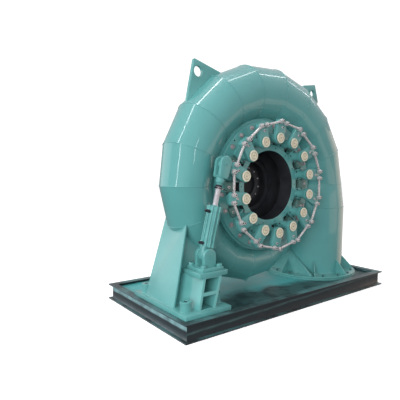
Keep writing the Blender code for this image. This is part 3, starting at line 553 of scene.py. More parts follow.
def makeInletFlange():
    # two flanges bolted face to face, with the joint between them as a groove
    low, rim, near = inletPipe["deck"], inletPipe["flange"], inletPipe["radius"] + seam
    face, joint = low + inletPipe["flangeDepth"], low + inletPipe["joint"]
    flange = hoopMesh((
        (near, low), (rim - 0.002, low), (rim, low + 0.002), (rim, joint - 0.002), (rim - 0.002, joint),
        (rim - 0.010, joint), (rim - 0.010, joint + 0.003), (rim - 0.005, joint + 0.003),
        (rim - 0.003, joint + 0.005), (rim - 0.003, face - 0.003), (rim - 0.006, face), (near, face),
    ), 120, "Z", pipeSpot)
    flat = boxMesh((inletPipe["flatX"], -0.8, 0.0), (inletPipe["flatX"] + 0.3, 0.8, 0.5))
    parts = [carvedMesh(flange, flat)]
    reach, root = inletPipe["radius"] + inletPipe["gussetReach"], face - 0.005
    top, half, count = face + inletPipe["gussetHeight"], inletPipe["gussetHalf"], inletPipe["gussets"]
    outline = ((near, root), (reach, root), (reach, face + 0.018), (near + 0.010, top), (near, top))
    fin = easedMesh(plateMesh(outline, -half, half), 0.0018, steps=1)
    parts += [(fin, Matrix.Translation((*pipeSpot, 0)) @ spun(i * 360 / count, "Z")) for i in range(count)]

    wide, top, left, right = [inletPipe[size] for size in ("sideHalf", "sideTop", "sideLeft", "sideRight")]
    outline = ((-wide, root), (wide, root), (wide, face + 0.01), (0.012, top), (-0.012, top),
               (-wide, face + 0.01))
    side = easedMesh(plateMesh([(midY + y, z) for y, z in outline], left, right, "X"), 0.003, steps=1)
    pipe = turnedMesh(pipeProfile(-seam, 0.1, 1.0), 96, "Z", pipeSpot)
    parts += [carvedMesh(side, pipe), pipeBead(face, 0.008)]
    for x in (left, right):
        parts += beadAlong([(x, midY - wide, face), (x, midY + wide, face)], 0.005, 6)
    showPiece("inletFlange", "inlet_flange", parts, (tealPaint,))

    # the flange bolts are a darker teal than the flange
    bolt = hexBolt(inletPipe["boltSize"], 0.012, 0.003)
    half = 180 / inletPipe["bolts"]
    spots = levelRing(pipeSpot, face, inletPipe["boltCircle"], inletPipe["bolts"] - 1, half, 360 - half)
    parts = [(bolt, Matrix.Translation(spot)) for spot in spots
             if spot[0] < inletPipe["flatX"] - 0.03 and not left - 0.03 < spot[0] < right + 0.03]
    showPiece("flangeBolts", "", parts, (boltPainted,))


lugs = dict(depth=0.036, ease=0.004,
            left=((-0.935, 2.448), (-0.925, 2.452), (-0.596, 2.365), (-0.62, 2.05), (-1.022, 2.015)),
            leftHole=(-0.883, 2.337, 0.052),
            right=((0.711, 2.411), (0.908, 2.443), (0.920, 2.436), (0.985, 2.243), (0.86, 2.02),
                   (0.60, 2.24)),
            rightHole=(0.872, 2.330, 0.044))


def makeLugs():
    low, high = midY - lugs["depth"] / 2, midY + lugs["depth"] / 2
    body = spiralForm(seam)
    for side in ("left", "right"):
        x, z, radius = lugs[side + "Hole"]
        plate = easedMesh(plateMesh(lugs[side], low, high), lugs["ease"])
        mesh = carvedMesh(plate, rodMesh(radius, low - 0.05, high + 0.05, 48, "Y", (x, z)), body)
        showPiece(side + "Lug", "lifting_lug_" + side, mesh, (tealPaint,))


# stay ring and covers

stay = dict(inner=0.60, outer=0.6997, reach=0.17, blades=14, circle=0.65, lean=32)


def axisHoop(profile, sides=turbine["sides"]):
    return hoopMesh(profile, sides, "Y", axisSpot)


def makeStayRing():
    half, inner, outer = turbine["halfPassage"], stay["inner"], stay["outer"]
    parts = [axisHoop(((inner, near), (outer, near), (outer, far), (inner, far)))
             for near, far in ((midY - stay["reach"], midY - half), (midY + half, midY + stay["reach"]))]
    blade = ((0.0, -0.042), (0.007, -0.030), (0.010, -0.012), (0.011, 0.008), (0.007, 0.026), (0.0, 0.042),
             (-0.006, 0.024), (-0.008, 0.008), (-0.008, -0.012), (-0.005, -0.030))
    mesh = plateMesh(blade, midY - half - 0.01, midY + half + 0.01)
    for i in range(stay["blades"]):
        angle = i * 360 / stay["blades"]
        spot = Matrix.Translation(aroundAxis(angle, stay["circle"]))
        parts.append((mesh, spot @ spun(angle + stay["lean"], "Y")))
    showPiece("stayRing", "stay_ring", parts, (tealEnamel,))


cover = dict(bore=0.366, ringOuter=0.4297, ringFace=-0.2865, plateY=-0.225, rimInner=0.580,
             rim=0.680, rimY=-0.2553, seatY=-0.2203, backY=-0.112, plug=0.5997, ease=0.003,
             padFace=-0.278, padHalf=0.055, padOuter=0.584, stopInner=0.503, stopOuter=0.600, stopHalf=0.048,
             stopFace=-0.285, stopScrew=0.572, bushing=0.046, collar=0.064, collarRise=0.013,
             collarBolts=0.056, pocketInner=0.4500, pocketHalf=0.036, rimBolts=24, rimBoltCircle=0.636,
             firstRimBolt=7.5, rimBoltSize=0.0185, jackHole=(-46.6, 0.655, 0.0085), tappedCircle=0.402,
             tappedSize=0.0062)


def makeBoreRing():
    front, ease, bore, outer = cover["ringFace"], cover["ease"], cover["bore"], cover["ringOuter"]
    ring = axisHoop((
        (bore, cover["backY"]), (bore, front + ease), (bore + ease, front), (outer - ease, front),
        (outer, front + ease), (outer, cover["backY"]),
    ))
    holes = []
    for angle in vaneAngles:
        spot = aroundAxis(angle + vaneStep / 2, cover["tappedCircle"])
        holes.append(rodMesh(cover["tappedSize"], front - 0.02, front + 0.025, 14, "Y", (spot.x, spot.z)))
    # the bore and deeper faces take the black paint; the tapped holes' walls take it as painted shade
    mesh = repaintedMesh(carvedMesh(ring, *holes), lambda radius, y, sideOn: (
        radius < bore + 0.001 or sideOn and radius < outer - 0.01 or y > front + 0.02))
    showPiece("boreRing", "bore_ring", mesh, (tealPaint, boreBlackAndShade))


def makeFrontCover():
    ease, inner, plateY, rimY = cover["ease"], cover["ringOuter"] + 0.0006, cover["plateY"], cover["rimY"]
    plate = axisHoop((
        (inner, plateY), (cover["rimInner"], plateY), (cover["rimInner"], rimY + ease),
        (cover["rimInner"] + ease, rimY), (cover["rim"] - ease, rimY), (cover["rim"], rimY + ease),
        (cover["rim"], cover["seatY"]), (cover["plug"], cover["seatY"]), (cover["plug"], cover["backY"]),
        (inner, cover["backY"]),
    ))
    angle, reach, size = cover["jackHole"]
    spot = aroundAxis(angle, reach)
    jack = rodMesh(size, rimY - 0.02, rimY + 0.024, 20, "Y", (spot.x, spot.z))
    # the jack hole's wall and floor are painted dark: painted shade
    plate = repaintedMesh(carvedMesh(plate, jack), lambda away, y, sideOn: (
        away < size + 0.0005 and (sideOn or y > rimY + 0.01)), centre=(spot.x, spot.z))

    half, face, sunk = cover["padHalf"], cover["padFace"], plateY + 0.004
    pad = easedMesh(boxMesh((-half, face, inner), (half, sunk, cover["padOuter"])), 0.003)
    half = cover["stopHalf"]
    stop = boxMesh((-half, cover["stopFace"], cover["stopInner"]), (half, sunk, cover["stopOuter"]))
    stop = easedMesh(stop, 0.004)
    # a thin dark floor in each pocket beside the stops: painted shade
    half = cover["pocketHalf"]
    floor = boxMesh((-half, plateY - 0.0015, cover["pocketInner"]),
                    (half, plateY + 0.002, cover["stopInner"] - 0.002))
    radius, stem = cover["bushing"], (0.0, gear["stemCircle"])
    back = gear["leverFront"] + gear["leverDepth"] + 0.0003
    bush = turnedMesh(((radius, face + 0.002), (radius, back + 0.004), (radius - 0.004, back)), 40, "Y", stem)
    radius, rise = cover["collar"], face - cover["collarRise"]
    profile = ((radius, face + 0.001), (radius, rise + 0.003), (radius - 0.003, rise))
    collar = turnedMesh(profile, 40, "Y", stem)
    small = hexBolt(0.0075, 0.005, 0.0015, 12)
    parts = [(plate, noTurn, None)]
    for angle in vaneAngles:
        place = atAngle(angle)
        parts += [(pad, place), (bush, place), (collar, place)]
        for x, z in arcPoints(stem, cover["collarBolts"], 45, 315, 3):
            parts.append((small, place @ Matrix.Translation((x, rise, z)) @ spun(90, "X"), 3))
        place = atAngle(angle + vaneStep / 2)
        parts += [(stop, place, 2), (floor, place, 1)]
    # faces behind the plate, inside the casing, are painted dark: painted shade
    mesh = repaintedMesh(gatheredMesh(parts), lambda radius, y, sideOn: y > plateY + 0.01)
    showPiece("frontCover", "front_cover", mesh, (tealPaint, recessShade, stopDarkTeal, boltDark))

    bolt, screw = hexBolt(cover["rimBoltSize"], 0.016, 0.004), socketScrew(0.0135, 0.014)
    for face in screw.polygons:
        face.material_index += 1
    parts = boltRing(bolt, cover["rimBolts"], cover["firstRimBolt"], cover["rimBoltCircle"], rimY, spin=0.7)
    first = vaneAngles[0] + vaneStep / 2
    parts += boltRing(screw, turbine["vanes"], first, cover["stopScrew"], cover["stopFace"], finish=None)
    showPiece("coverBolts", "", parts, (boltSteel, zincSteel, fittingBlackAndSocketShade))


rear = dict(stepRadius=0.32, stepY=0.035, front=0.012, seat=0.1203, back=0.1553, bore=0.26, hubFront=0.100,
            hubBack=0.215, shaftHole=0.13, ribs=10, firstRib=18, ribOuter=0.60, ribDepth=0.045, ribHalf=0.008,
            bolts=24, boltCircle=0.636, hubBolts=12, hubBoltCircle=0.235, sealFront=0.062, sealBolts=12,
            sealBoltCircle=0.184)


def makeRearCover():
    near, seat, back, ease = rear["front"], rear["seat"], rear["back"], cover["ease"]
    plate = axisHoop((
        (rear["stepRadius"], near), (cover["plug"], near), (cover["plug"], seat), (cover["rim"], seat),
        (cover["rim"], back - ease), (cover["rim"] - ease, back), (rear["bore"], back),
        (rear["bore"], rear["stepY"]), (rear["stepRadius"], rear["stepY"]),
    ))
    deep = back + rear["ribDepth"]
    outline = ((back - 0.004, 0.255), (deep, 0.262), (deep, 0.30), (back + 0.012, rear["ribOuter"]),
               (back - 0.004, rear["ribOuter"]))
    rib = easedMesh(plateMesh(outline, -rear["ribHalf"], rear["ribHalf"], "X"), 0.002, steps=1)
    ribs = [(rib, atAngle(i * 360 / rear["ribs"] + rear["firstRib"])) for i in range(rear["ribs"])]
    mesh = repaintedMesh(gatheredMesh([plate] + ribs), lambda radius, y, sideOn: (
        y < back - 0.01 and radius < cover["plug"] + 0.001))
    showPiece("rearCover", "rear_cover", mesh, (tealPaint, boreBlackAndShade))

    hole, outer, near, back = rear["shaftHole"], rear["bore"] - seam, rear["hubFront"], rear["hubBack"]
    hub = axisHoop((
        (hole, near), (outer, near), (outer, back - ease), (outer - ease, back), (hole + ease, back),
        (hole, back - ease),
    ))
    mesh = repaintedMesh(hub, lambda radius, y, sideOn: y < near + 0.001 or radius < hole + 0.002)
    showPiece("rearHub", "rear_hub", mesh, (tealPaint, boreBlackAndShade))

    front = rear["sealFront"]
    parts = [
        axisHoop(((0.135, front + 0.008), (0.150, front), (0.205, front), (0.214, front + 0.008),
                  (0.214, 0.0995), (0.135, 0.0995)), 96),
        axisHoop(((0.262, 0.020), (0.300, 0.014), (0.317, 0.020), (0.317, 0.0345), (0.262, 0.0345)), 120),
        # a blank in the shaft hole, painted shade: dark as the photograph has it
        turnedMesh(((0.1290, 0.114), (0.1290, 0.104), (0.112, 0.104), (0.106, 0.098)), 60, "Y", axisSpot),
    ]
    screw = hexBolt(0.008, 0.007, 0.0015, 12)
    parts += boltRing(screw, rear["sealBolts"], 9, rear["sealBoltCircle"], front, finish=1)
    showPiece("chamberRings", "", parts, (boreBlackAndShade, zincSteel))

    bolt = hexBolt(0.0145, 0.0125, 0.003)
    parts = boltRing(bolt, rear["bolts"], 7.5, rear["boltCircle"], rear["back"], turn=-90)
    parts += boltRing(bolt, rear["hubBolts"], 0, rear["hubBoltCircle"], rear["hubBack"], turn=-90)
    showPiece("rearBolts", "", parts, (zincSteel,))


# guide vane gear

vane = dict(capRadius=0.053, capThick=0.0088, neck=0.046, stem=0.030, lead=0.104, trail=0.108, thick=0.034,
            endGap=0.0015)
lever = dict(hub=0.061, collar=0.054, tip=0.027, ease=0.0035, pinHead=0.0150, pinHeight=0.0165, washer=0.0205,
             shearHead=0.0125, shearHeight=0.013, shearReach=0.112, shearTurn=17.0)
link = dict(eye=0.024, hole=0.0128, depth=0.030, ease=0.004, rod=0.0128, thread=0.0088, nut=0.0150,
            nutHeight=0.010)
pinSpots = arcPoints((0.0, 0.0), gear["pinArm"], gear["tilt"] - vaneStep / 2, gear["tilt"] + vaneStep / 2, 1)


def hullOutline(circles, step):
    points = []
    for i in range(int(360 / step)):
        turn = math.radians(i * step)
        way = Vector((math.sin(turn), math.cos(turn)))
        best = max(circles, key=lambda c: Vector(c[0]).dot(way) + c[1])
        point = Vector(best[0]) + way * best[1]
        if not points or (point - points[-1]).length > 1e-6:
            points.append(point)
    return [(p.x, p.y) for p in points]


def vaneMesh():
    near = midY - turbine["halfPassage"] + vane["endGap"]
    far = midY + turbine["halfPassage"] - vane["endGap"]
    upper, lower = [], []
    for i in range(15):
        share = i / 14
        x = vane["lead"] - share * (vane["lead"] + vane["trail"])
        half = 0.5 * vane["thick"] * math.sin(math.pi * share) ** 0.75 * (1 - 0.25 * share) + 0.003
        upper.append((x, half))
        lower.append((x, -half))
    blade = plateMesh(upper + lower[::-1], near, far)
    face, back, radius, thick = gear["capFace"], gear["capBack"], vane["capRadius"], vane["capThick"]
    behind, neck = face + thick, vane["neck"]
    cap = turnedMesh((
        (0.0050, face + 0.006), (0.0050, face + 0.0005), (0.0075, face), (0.0325, face),
        (0.0335, face + 0.0014), (0.0365, face + 0.0014), (0.0375, face), (radius - 0.0025, face),
        (radius, face + 0.0025), (radius, behind - 0.001), (radius - 0.001, behind),
        (neck, behind + 0.0003), (neck, back),
    ), 56)
    # dark centre hole and dark neck behind the cap, both painted shade; beige middle, a darker groove round
    # it
    for number, test in (
        (1, lambda reach, y, sideOn: reach < 0.0051 and y > face + 0.001 or y > face + thick),
        (2, lambda reach, y, sideOn: reach < 0.0330),
        (3, lambda reach, y, sideOn: reach < 0.0366 and y > face + 0.001),
    ):
        repaintedMesh(cap, test, number, centre=(0.0, 0.0))
    stem = rodMesh(vane["stem"], back - 0.002, near + 0.01, 32)
    return gatheredMesh([(cap, noTurn, None), (stem, noTurn, 1), (blade, noTurn, 1)])


def leverMesh(drive):
    front, back = gear["leverFront"], gear["leverFront"] + gear["leverDepth"]
    circles = [((0.0, 0.0), lever["hub"])] + [(spot, lever["tip"]) for spot in pinSpots]
    plate = easedMesh(plateMesh(hullOutline(circles, 7.5), front, back), lever["ease"])
    hub = rodMesh(lever["collar"], front + 0.046, back - 0.001, 40)
    return gatheredMesh([plate, hub] + ([driveArm()] if drive else []))


def pinMesh():
    screw = socketScrew(lever["pinHead"], lever["pinHeight"])
    washer = rodMesh(lever["washer"], -0.001, 0.0025, 24, "Z")
    front = gear["capBack"] - link["depth"]
    parts = []
    for x, z in pinSpots:
        parts += [(washer, Matrix.Translation((x, front, z)) @ spun(90, "X"), None),
                  (screw, Matrix.Translation((x, front - 0.0025, z)) @ spun(90, "X"), None)]
    turn, reach = math.radians(lever["shearTurn"]), lever["shearReach"]
    spot = Matrix.Translation((reach * math.sin(turn), gear["leverFront"], reach * math.cos(turn)))
    parts.append((socketScrew(lever["shearHead"], lever["shearHeight"]), spot @ spun(90, "X"), None))
    return gatheredMesh(parts)


def linkMesh():
    length = 2 * gear["stemCircle"] * math.sin(math.pi / turbine["vanes"])
    half, eye, hole, ease = link["depth"] / 2, link["eye"], link["hole"], link["ease"]
    middle = gear["capBack"] - half
    low, high = middle - half, middle + half
    ring = hoopMesh((
        (hole, low), (eye - ease, low), (eye, low + ease), (eye, high - ease), (eye - ease, high),
        (hole, high),
    ), 32)
    along = Matrix.Translation((0, middle, 0)) @ spun(90, "Y")
    thread, thick = link["thread"], link["rod"]
    rod = turnedMesh((
        (thread, 0.020), (thread, 0.046), (thick - 0.002, 0.046), (thick, 0.049), (thick, length - 0.049),
        (thick - 0.002, length - 0.046), (thread, length - 0.046), (thread, length - 0.020),
    ), 20, "Z")
    nut = rodMesh(link["nut"], 0.0, link["nutHeight"], 6, "Z")
    nuts = [(nut, along @ Matrix.Translation((0, 0, x))) for x in (0.030, length - 0.040)]
    return gatheredMesh([ring, (ring, Matrix.Translation((length, 0, 0))), (rod, along)] + nuts)


servo = dict(y=-0.4037, clevisPin=(-1.040, 0.615), forkPin=(-0.842, 1.437), pin=0.020)
arm = dict(hubHalf=0.058, end=0.045, depth=0.030, eye=0.023, slack=0.0125)


def driveArm():
    # the arm on the drive lever, its eye a slot along the arm for the servo's pin
    angle = vaneAngles[gear["driveVane"] - 1]
    stem = aroundAxis(angle, gear["stemCircle"])
    away = Vector((servo["forkPin"][0] - stem.x, 0, servo["forkPin"][1] - stem.z))
    reach = spun(-angle, "Y").to_3x3() @ away
    length, half, eye = reach.length, arm["hubHalf"], arm["eye"]
    low, high = servo["y"] - arm["depth"] / 2, servo["y"] + arm["depth"] / 2
    outline = [(-half, 0.0), (half, 0.0)] + arcPoints((0.0, length), arm["end"], 90, -90, 16)
    slot = arcPoints((0.0, length + 0.001), eye, 90, -90, 12)
    slot += arcPoints((0.0, length - arm["slack"]), eye, 270, 90, 12)
    plate = easedMesh(plateMesh(outline, low, high), 0.003)
    mesh = carvedMesh(plate, plateMesh(slot, low - 0.05, high + 0.05))
    return mesh, Matrix.Rotation(math.atan2(reach.x, reach.z), 4, "Y")


def makeGear():
    blade, plain, drive, pins, rod = vaneMesh(), leverMesh(False), leverMesh(True), pinMesh(), linkMesh()
    far = Matrix.Translation((pinSpots[1][0], 0.0, pinSpots[1][1]))
    for i, angle in enumerate(vaneAngles):
        number = f"{i + 1:02d}"
        body = "vane_" + number
        place = Matrix.Translation(aroundAxis(angle, gear["stemCircle"])) @ spun(angle, "Y")
        showPiece("guideVane" + number, "guide_vane_" + number, blade,
                  (stemCream, boreBlackAndShade, stemBeige, stemGroove), body, place=place)
        shape = drive if i + 1 == gear["driveVane"] else plain
        showPiece("guideLever" + number, "guide_lever_" + number, shape, (tealPaint,), body, place=place)
        showPiece("leverPins" + number, "", pins, (zincSteel, fittingBlackAndSocketShade), body, place=place)
        place = place @ far @ spun(vaneStep / 2, "Y")
        showPiece("gearLink" + number, "link_" + number, rod, (zincSteel,), "coupler_" + number,
                  place=place)


# servo; its pieces are drawn along local +Z from the clevis pin

barrel = dict(tube=0.0545, head=0.060, start=0.075, end=0.452, headLength=0.050, tieRods=10, tieCircle=0.0590,
              tieRadius=0.0078, boss=0.0120, notch=0.010, eye=0.056, eyeHalf=0.0347, rodHole=0.0262,
              portsFromEnds=(0.030, 0.056))
piston = dict(radius=0.0255, start=0.335, neck=0.650, fork=0.715, shoulder=0.735, slotFrom=0.736, slot=0.045,
              half=0.064, rise=0.015, depth=0.102, clamp=0.6205, clampRadius=0.0315)
servoWay = [fork - pin for fork, pin in zip(servo["forkPin"], servo["clevisPin"])]
servoReach = math.hypot(*servoWay)
servoPlace = (Matrix.Translation((servo["clevisPin"][0], servo["y"], servo["clevisPin"][1]))
              @ Matrix.Rotation(math.atan2(*servoWay), 4, "Y"))


def makeServoCylinder():
    low, high, cap, notch = barrel["start"], barrel["end"], barrel["headLength"], barrel["notch"]
    tube, hole, radius, boss = barrel["tube"], barrel["rodHole"], barrel["head"], barrel["boss"]
    half = 180 / barrel["tieRods"]
    spots = arcPoints((0.0, 0.0), barrel["tieCircle"], half, 360 - half, barrel["tieRods"] - 1)
    ties = [Matrix.Translation((x, y, 0)) for x, y in spots]
    inner = hole + 0.004
    parts = [hoopMesh(((tube, low + 0.01), (tube, high - 0.02), (inner, high - 0.02), (inner, low + 0.01)),
                      48, "Z")]
    for near, far in ((low, low + cap), (high - cap, high)):
        first, last = near + notch * 0.3, far - notch
        parts.append(hoopMesh((
            (radius - 0.002, first), (radius, first + 0.002), (radius, last - 0.002), (radius - 0.002, last),
            (hole + 0.003, last), (hole + 0.003, first),
        ), 48, "Z"))
        profile = ((boss - 0.002, near), (boss, near + 0.002), (boss, far - 0.002), (boss - 0.002, far))
        mesh = turnedMesh(profile, 18, "Z")
        parts += [(mesh, place) for place in ties]
    rod = rodMesh(barrel["tieRadius"], low + 0.02, high - 0.02, 16, "Z")
    parts += [(rod, place) for place in ties]
    parts.append(hoopMesh((
        (0.044, high - 0.015), (0.044, high + 0.004), (0.041, high + 0.007), (0.030, high + 0.007),
        (hole, high + 0.003), (hole, high - 0.015),
    ), 36, "Z"))
    half, side = barrel["eyeHalf"], barrel["eye"]
    eye = plateMesh(arcPoints((0.0, 0.0), side, 90, 270, 28) + [(-side, 0.09), (side, 0.09)], -half, half)
    parts.append(carvedMesh(easedMesh(eye, 0.006, steps=3), rodMesh(servo["pin"] + 0.0012, -0.2, 0.2, 24)))
    showPiece("servoCylinder", "servo_cylinder", parts, (tealPaint,), "cylinder", place=servoPlace)

    port = [
        turnedMesh(((0.015, -0.01), (0.015, 0.012), (0.013, 0.014)), 20, "Z"),
        turnedMesh(((0.0145, 0.014), (0.0145, 0.034), (0.0120, 0.037)), 6, "Z"),
        turnedMesh(((0.0095, 0.030), (0.0095, 0.046), (0.007, 0.048)), 16, "Z"),
    ]
    parts = []
    for height in (low + barrel["portsFromEnds"][0], high - barrel["portsFromEnds"][1]):
        sideways = Matrix.Translation((-radius - 0.002, -0.006, height)) @ spun(-90, "Y")
        parts += [(mesh, sideways) for mesh in port]
    showPiece("oilPorts", "", parts, (fittingBlackAndSocketShade,), "cylinder", place=servoPlace)


def makeServoRod():
    radius, near, neck, low = piston["radius"], piston["start"], piston["neck"], piston["fork"]
    rod = turnedMesh((
        (radius - 0.003, near), (radius, near + 0.004), (radius, neck - 0.024),
        (radius - 0.0015, neck - 0.022), (radius - 0.0015, neck + 0.02),
    ), 40, "Z")
    showPiece("pistonRod", "", rod, (rodChrome,), "rod", place=servoPlace)

    half, depth, shoulder, gap = piston["half"], piston["depth"], piston["shoulder"], piston["slot"] / 2
    outline = [(-0.042, low), (0.042, low), (half - 0.010, shoulder)]
    outline += arcPoints((0.0, servoReach + piston["rise"]), half, 90, -90, 28) + [(-half + 0.010, shoulder)]
    fork = easedMesh(plateMesh(outline, -depth / 2, depth / 2), 0.007, steps=3)
    slot = easedMesh(boxMesh((-0.2, -gap, piston["slotFrom"]), (0.2, gap, servoReach + 0.2)), 0.016, steps=5)
    fork = easedMesh(carvedMesh(fork, slot), 0.0028, angle=50)
    collar = turnedMesh((
        (0.031, neck), (0.034, neck + 0.002), (0.034, neck + 0.007), (0.029, neck + 0.009),
        (0.029, neck + 0.011), (0.0345, neck + 0.013), (0.0345, neck + 0.017), (0.030, neck + 0.019),
        (0.0375, neck + 0.022), (0.0395, neck + 0.026), (0.0395, low - 0.006), (0.042, low + 0.004),
    ), 40, "Z")
    reach, thick = depth / 2 + 0.004, servo["pin"]
    pin = turnedMesh((
        (0.004, -reach + 0.004), (0.005, -reach), (thick - 0.002, -reach), (thick, -reach + 0.002),
        (thick, reach),
    ), 32, "Y", (0.0, servoReach))
    showPiece("rodFork", "servo_rod", [fork, collar, pin], (tealPaint,), "rod", place=servoPlace)

    ring, inner, outer = piston["clamp"], radius + seam, piston["clampRadius"]
    low, high = ring - 0.005, ring + 0.005
    wiper = ((inner, neck - 0.018), (0.030, neck - 0.016), (0.030, neck - 0.002), (inner, neck))
    clamp = hoopMesh(((inner, low), (outer, low), (outer, high), (inner, high)), 28, "Z")
    across = Matrix.Translation((0, -0.010, ring)) @ spun(90, "Y")
    behind = Matrix.Translation((0, -0.004, ring)) @ spun(-88, "Y")
    pointer = turnedMesh(((0.0042, 0.026), (0.0042, 0.092), (0.003, 0.096)), 12, "Z")
    nut, ear = rodMesh(0.0075, 0.036, 0.045, 6, "Z"), rodMesh(0.0065, 0.024, 0.052, 12, "Z")
    parts = [hoopMesh(wiper, 28, "Z"), clamp, (pointer, across), (nut, across, 1), (ear, behind)]
    showPiece("rodClamp", "", parts, (fittingBlackAndSocketShade, zincSteel), "rod", place=servoPlace)


clevis = dict(base=0.4903, depth=0.030, half=0.120, gap=0.070, ear=0.040, radius=0.068, boltSpot=0.091,
              bolt=0.0275)


def makeServoClevis():
    x, z = servo["clevisPin"]
    y, low, high = servo["y"], clevis["base"], clevis["base"] + clevis["depth"]
    half, radius, thick = clevis["half"], clevis["radius"], servo["pin"]
    parts = [easedMesh(boxMesh((x - half, y - half, low), (x + half, y + half, high)), 0.004)]
    outline = arcPoints((x, z), radius, -90, 90, 32)
    outline += [(x + radius, high - 0.005), (x - radius, high - 0.005)]
    for side in (-1, 1):
        inner = y + side * clevis["gap"] / 2
        outer = inner + side * clevis["ear"]
        parts.append(easedMesh(plateMesh(outline, min(inner, outer), max(inner, outer)), 0.006, steps=3))
        for end in (-1, 1):
            path = [(x + end * (radius - 0.001), inner + (outer - inner) * i / 8, high) for i in range(9)]
            parts.append(sweptMesh(path, 0.006))
    reach = clevis["gap"] / 2 + clevis["ear"] + 0.002
    near, far = y - reach, y + reach
    pin = turnedMesh((
        (0.0035, near + 0.005), (0.0045, near), (thick - 0.002, near), (thick, near + 0.002), (thick, far),
    ), 32, "Y", (x, z))
    # a dark disc in the pin's end, painted shade of its centre hole
    mark = rodMesh(0.0043, near + 0.003, near + 0.0045, 12, "Y", (x, z))
    showPiece("servoClevis", "servo_clevis", parts + [pin, (mark, noTurn, 1)], (tealPaint, recessShade))

    bolt, spot = hexBolt(clevis["bolt"], 0.024, 0), clevis["boltSpot"]
    parts = []
    for i, j in fourCorners:
        place = Matrix.Translation((x + i * spot, y + j * spot, high))
        parts.append((bolt, place @ Matrix.Rotation(0.4 * i + j, 4, "Z")))
    showPiece("clevisBolts", "", parts, (tealPaint,))


# foot, bracket and base; the foot and the bracket lean, so their sides are given low and high

foot = dict(seat=0.2003, depth=0.040, wall=0.016, topZ=0.93, base=(-1.395, -0.950, -0.425, 0.055),
            top=(-1.100, -0.950, -0.204, 0.164), plate=(-1.430, -0.940, -0.657, 0.218),
            sleeves=((-1.352, -0.542), (-1.348, 0.122), (-0.985, -0.485), (-0.985, 0.122)),
            sleeve=0.048, hole=0.016, height=0.085, setBack=0.083)
bracket = dict(topZ=0.49, plate=0.045, half=0.156, front=-0.537, leanBack=0.014, wall=0.020, margin=0.027,
               base=(-1.270, -1.083, -0.617), neck=(-1.152, -0.945, -0.532), flare=(0.030, 0.062),
               windows=((0.190, 0.303), (0.330, 0.437)))


def leaningSides(z, high, lower, upper):
    share = (z - foot["seat"]) / (high - foot["seat"])
    return [a + share * (b - a) for a, b in zip(lower, upper)]


def footSides(z):
    return leaningSides(z, foot["topZ"], foot["base"], foot["top"])


def footFace(z):
    # the foot's front plate stands back from the front edge of its left plate
    return footSides(z)[2] + foot["setBack"]


def bracketSides(z):
    return leaningSides(z, bracket["topZ"] - bracket["plate"], bracket["base"], bracket["neck"])


def makeSupportFoot():
    wall, low, high = foot["wall"], foot["seat"] + seam, foot["topZ"]
    outside = leaningMesh([(z, *footSides(z)) for z in (low, high)])
    inside, apron = [], []
    for z in (low - 0.05, high + 0.05):
        left, right, front, rear = footSides(z)
        inside.append((z, left + wall, right + 0.4, footFace(z) + wall, rear - wall))
        apron.append((z, left + wall, right + 0.4, front - 0.1, footFace(z)))
    mesh = carvedMesh(outside, leaningMesh(inside), leaningMesh(apron), spiralForm(seam))
    left, right, front, rear = foot["base"]
    face = footFace(low)
    corners = [(right, face, low), (left + wall, face, low), (left + wall, front, low), (left, front, low),
               (left, rear, low), (right, rear, low)]
    parts = [easedMesh(mesh, 0.0022, angle=50)] + beadAlong(corners, 0.0065)
    showPiece("supportFoot", "support_foot", parts, (tealPlate,))


def makeFootPlate():
    left, right, front, rear = foot["plate"]
    high, hole, radius, spots = foot["seat"], foot["hole"], foot["sleeve"], foot["sleeves"]
    low, top = high - foot["depth"], high + foot["height"]
    plate = easedMesh(boxMesh((left, front, low), (right, rear, high)), 0.004)
    parts = [carvedMesh(plate, *[rodMesh(hole, low - 0.05, high + 0.05, 28, "Z", spot) for spot in spots])]
    for spot in spots:
        parts.append(hoopMesh((
            (hole, high - 0.002), (radius, high - 0.002), (radius, top - 0.003), (radius - 0.003, top),
            (hole + 0.003, top), (hole, top - 0.003), (hole, top - 0.030),
        ), 48, "Z", spot))
        parts.append(sweptMesh(levelRing(spot, high, radius, 40), 0.0055))
    mesh = gatheredMesh(parts)
    # the walls of the sleeve holes are painted dark: painted shade
    for face in mesh.polygons:
        near = min(math.hypot(face.center.x - x, face.center.y - y) for x, y in spots)
        if near < hole + 0.0005 and abs(face.normal.z) < 0.5:
            face.material_index = 1
    showPiece("footPlate", "foot_plate", mesh, (tealPaint, recessShade))


def makeServoBracket():
    x, half, wall, margin = servo["clevisPin"][0], bracket["half"], bracket["wall"], bracket["margin"]
    topZ, flare = bracket["topZ"], bracket["flare"]
    low, high, rear = foot["seat"] + seam, topZ - bracket["plate"], footFace(topZ) - seam
    top = boxMesh((x - half, bracket["front"], high), (x + half, rear - bracket["leanBack"], topZ))
    face, leftWall, rightWall = [], [], []
    for z, out in zip((low, high + 0.01), flare):
        left, right, front = bracketSides(z)
        back, near = footFace(z) - seam, front + 0.001
        face.append((z, left, right, front, front + wall))
        leftWall.append([(left, near, z), (left + wall, near, z), (left + wall - out, back, z),
                         (left - out, back, z)])
        rightWall.append((z, right - wall, right, near, back))
    windows = []
    for levels in bracket["windows"]:
        rows = [(z, *bracketSides(z)) for z in levels]
        windows.append(leaningMesh([(z, left + margin, right - margin, front - 0.05, front + wall + 0.01)
                                    for z, left, right, front in rows]))
    walls = (carvedMesh(leaningMesh(face), *windows), skinRings(leftWall), leaningMesh(rightWall))
    parts = [easedMesh(top, 0.004)] + [easedMesh(mesh, 0.002, steps=1) for mesh in walls]

    left, right, front = bracketSides(low)
    back = footFace(low)
    corners = [(left - flare[0], back, low), (left, front, low), (right, front, low), (right, back, low)]
    parts += beadAlong(corners, 0.006)
    left, right, front = bracketSides(high)
    parts += beadAlong([(left - flare[1], footFace(high), high), (left, front, high)], 0.005)
    parts += beadAlong([(x - half, rear - 0.002, topZ), (x + half, rear - 0.002, topZ)], 0.005)
    showPiece("servoBracket", "servo_bracket", parts, (tealPaint,))


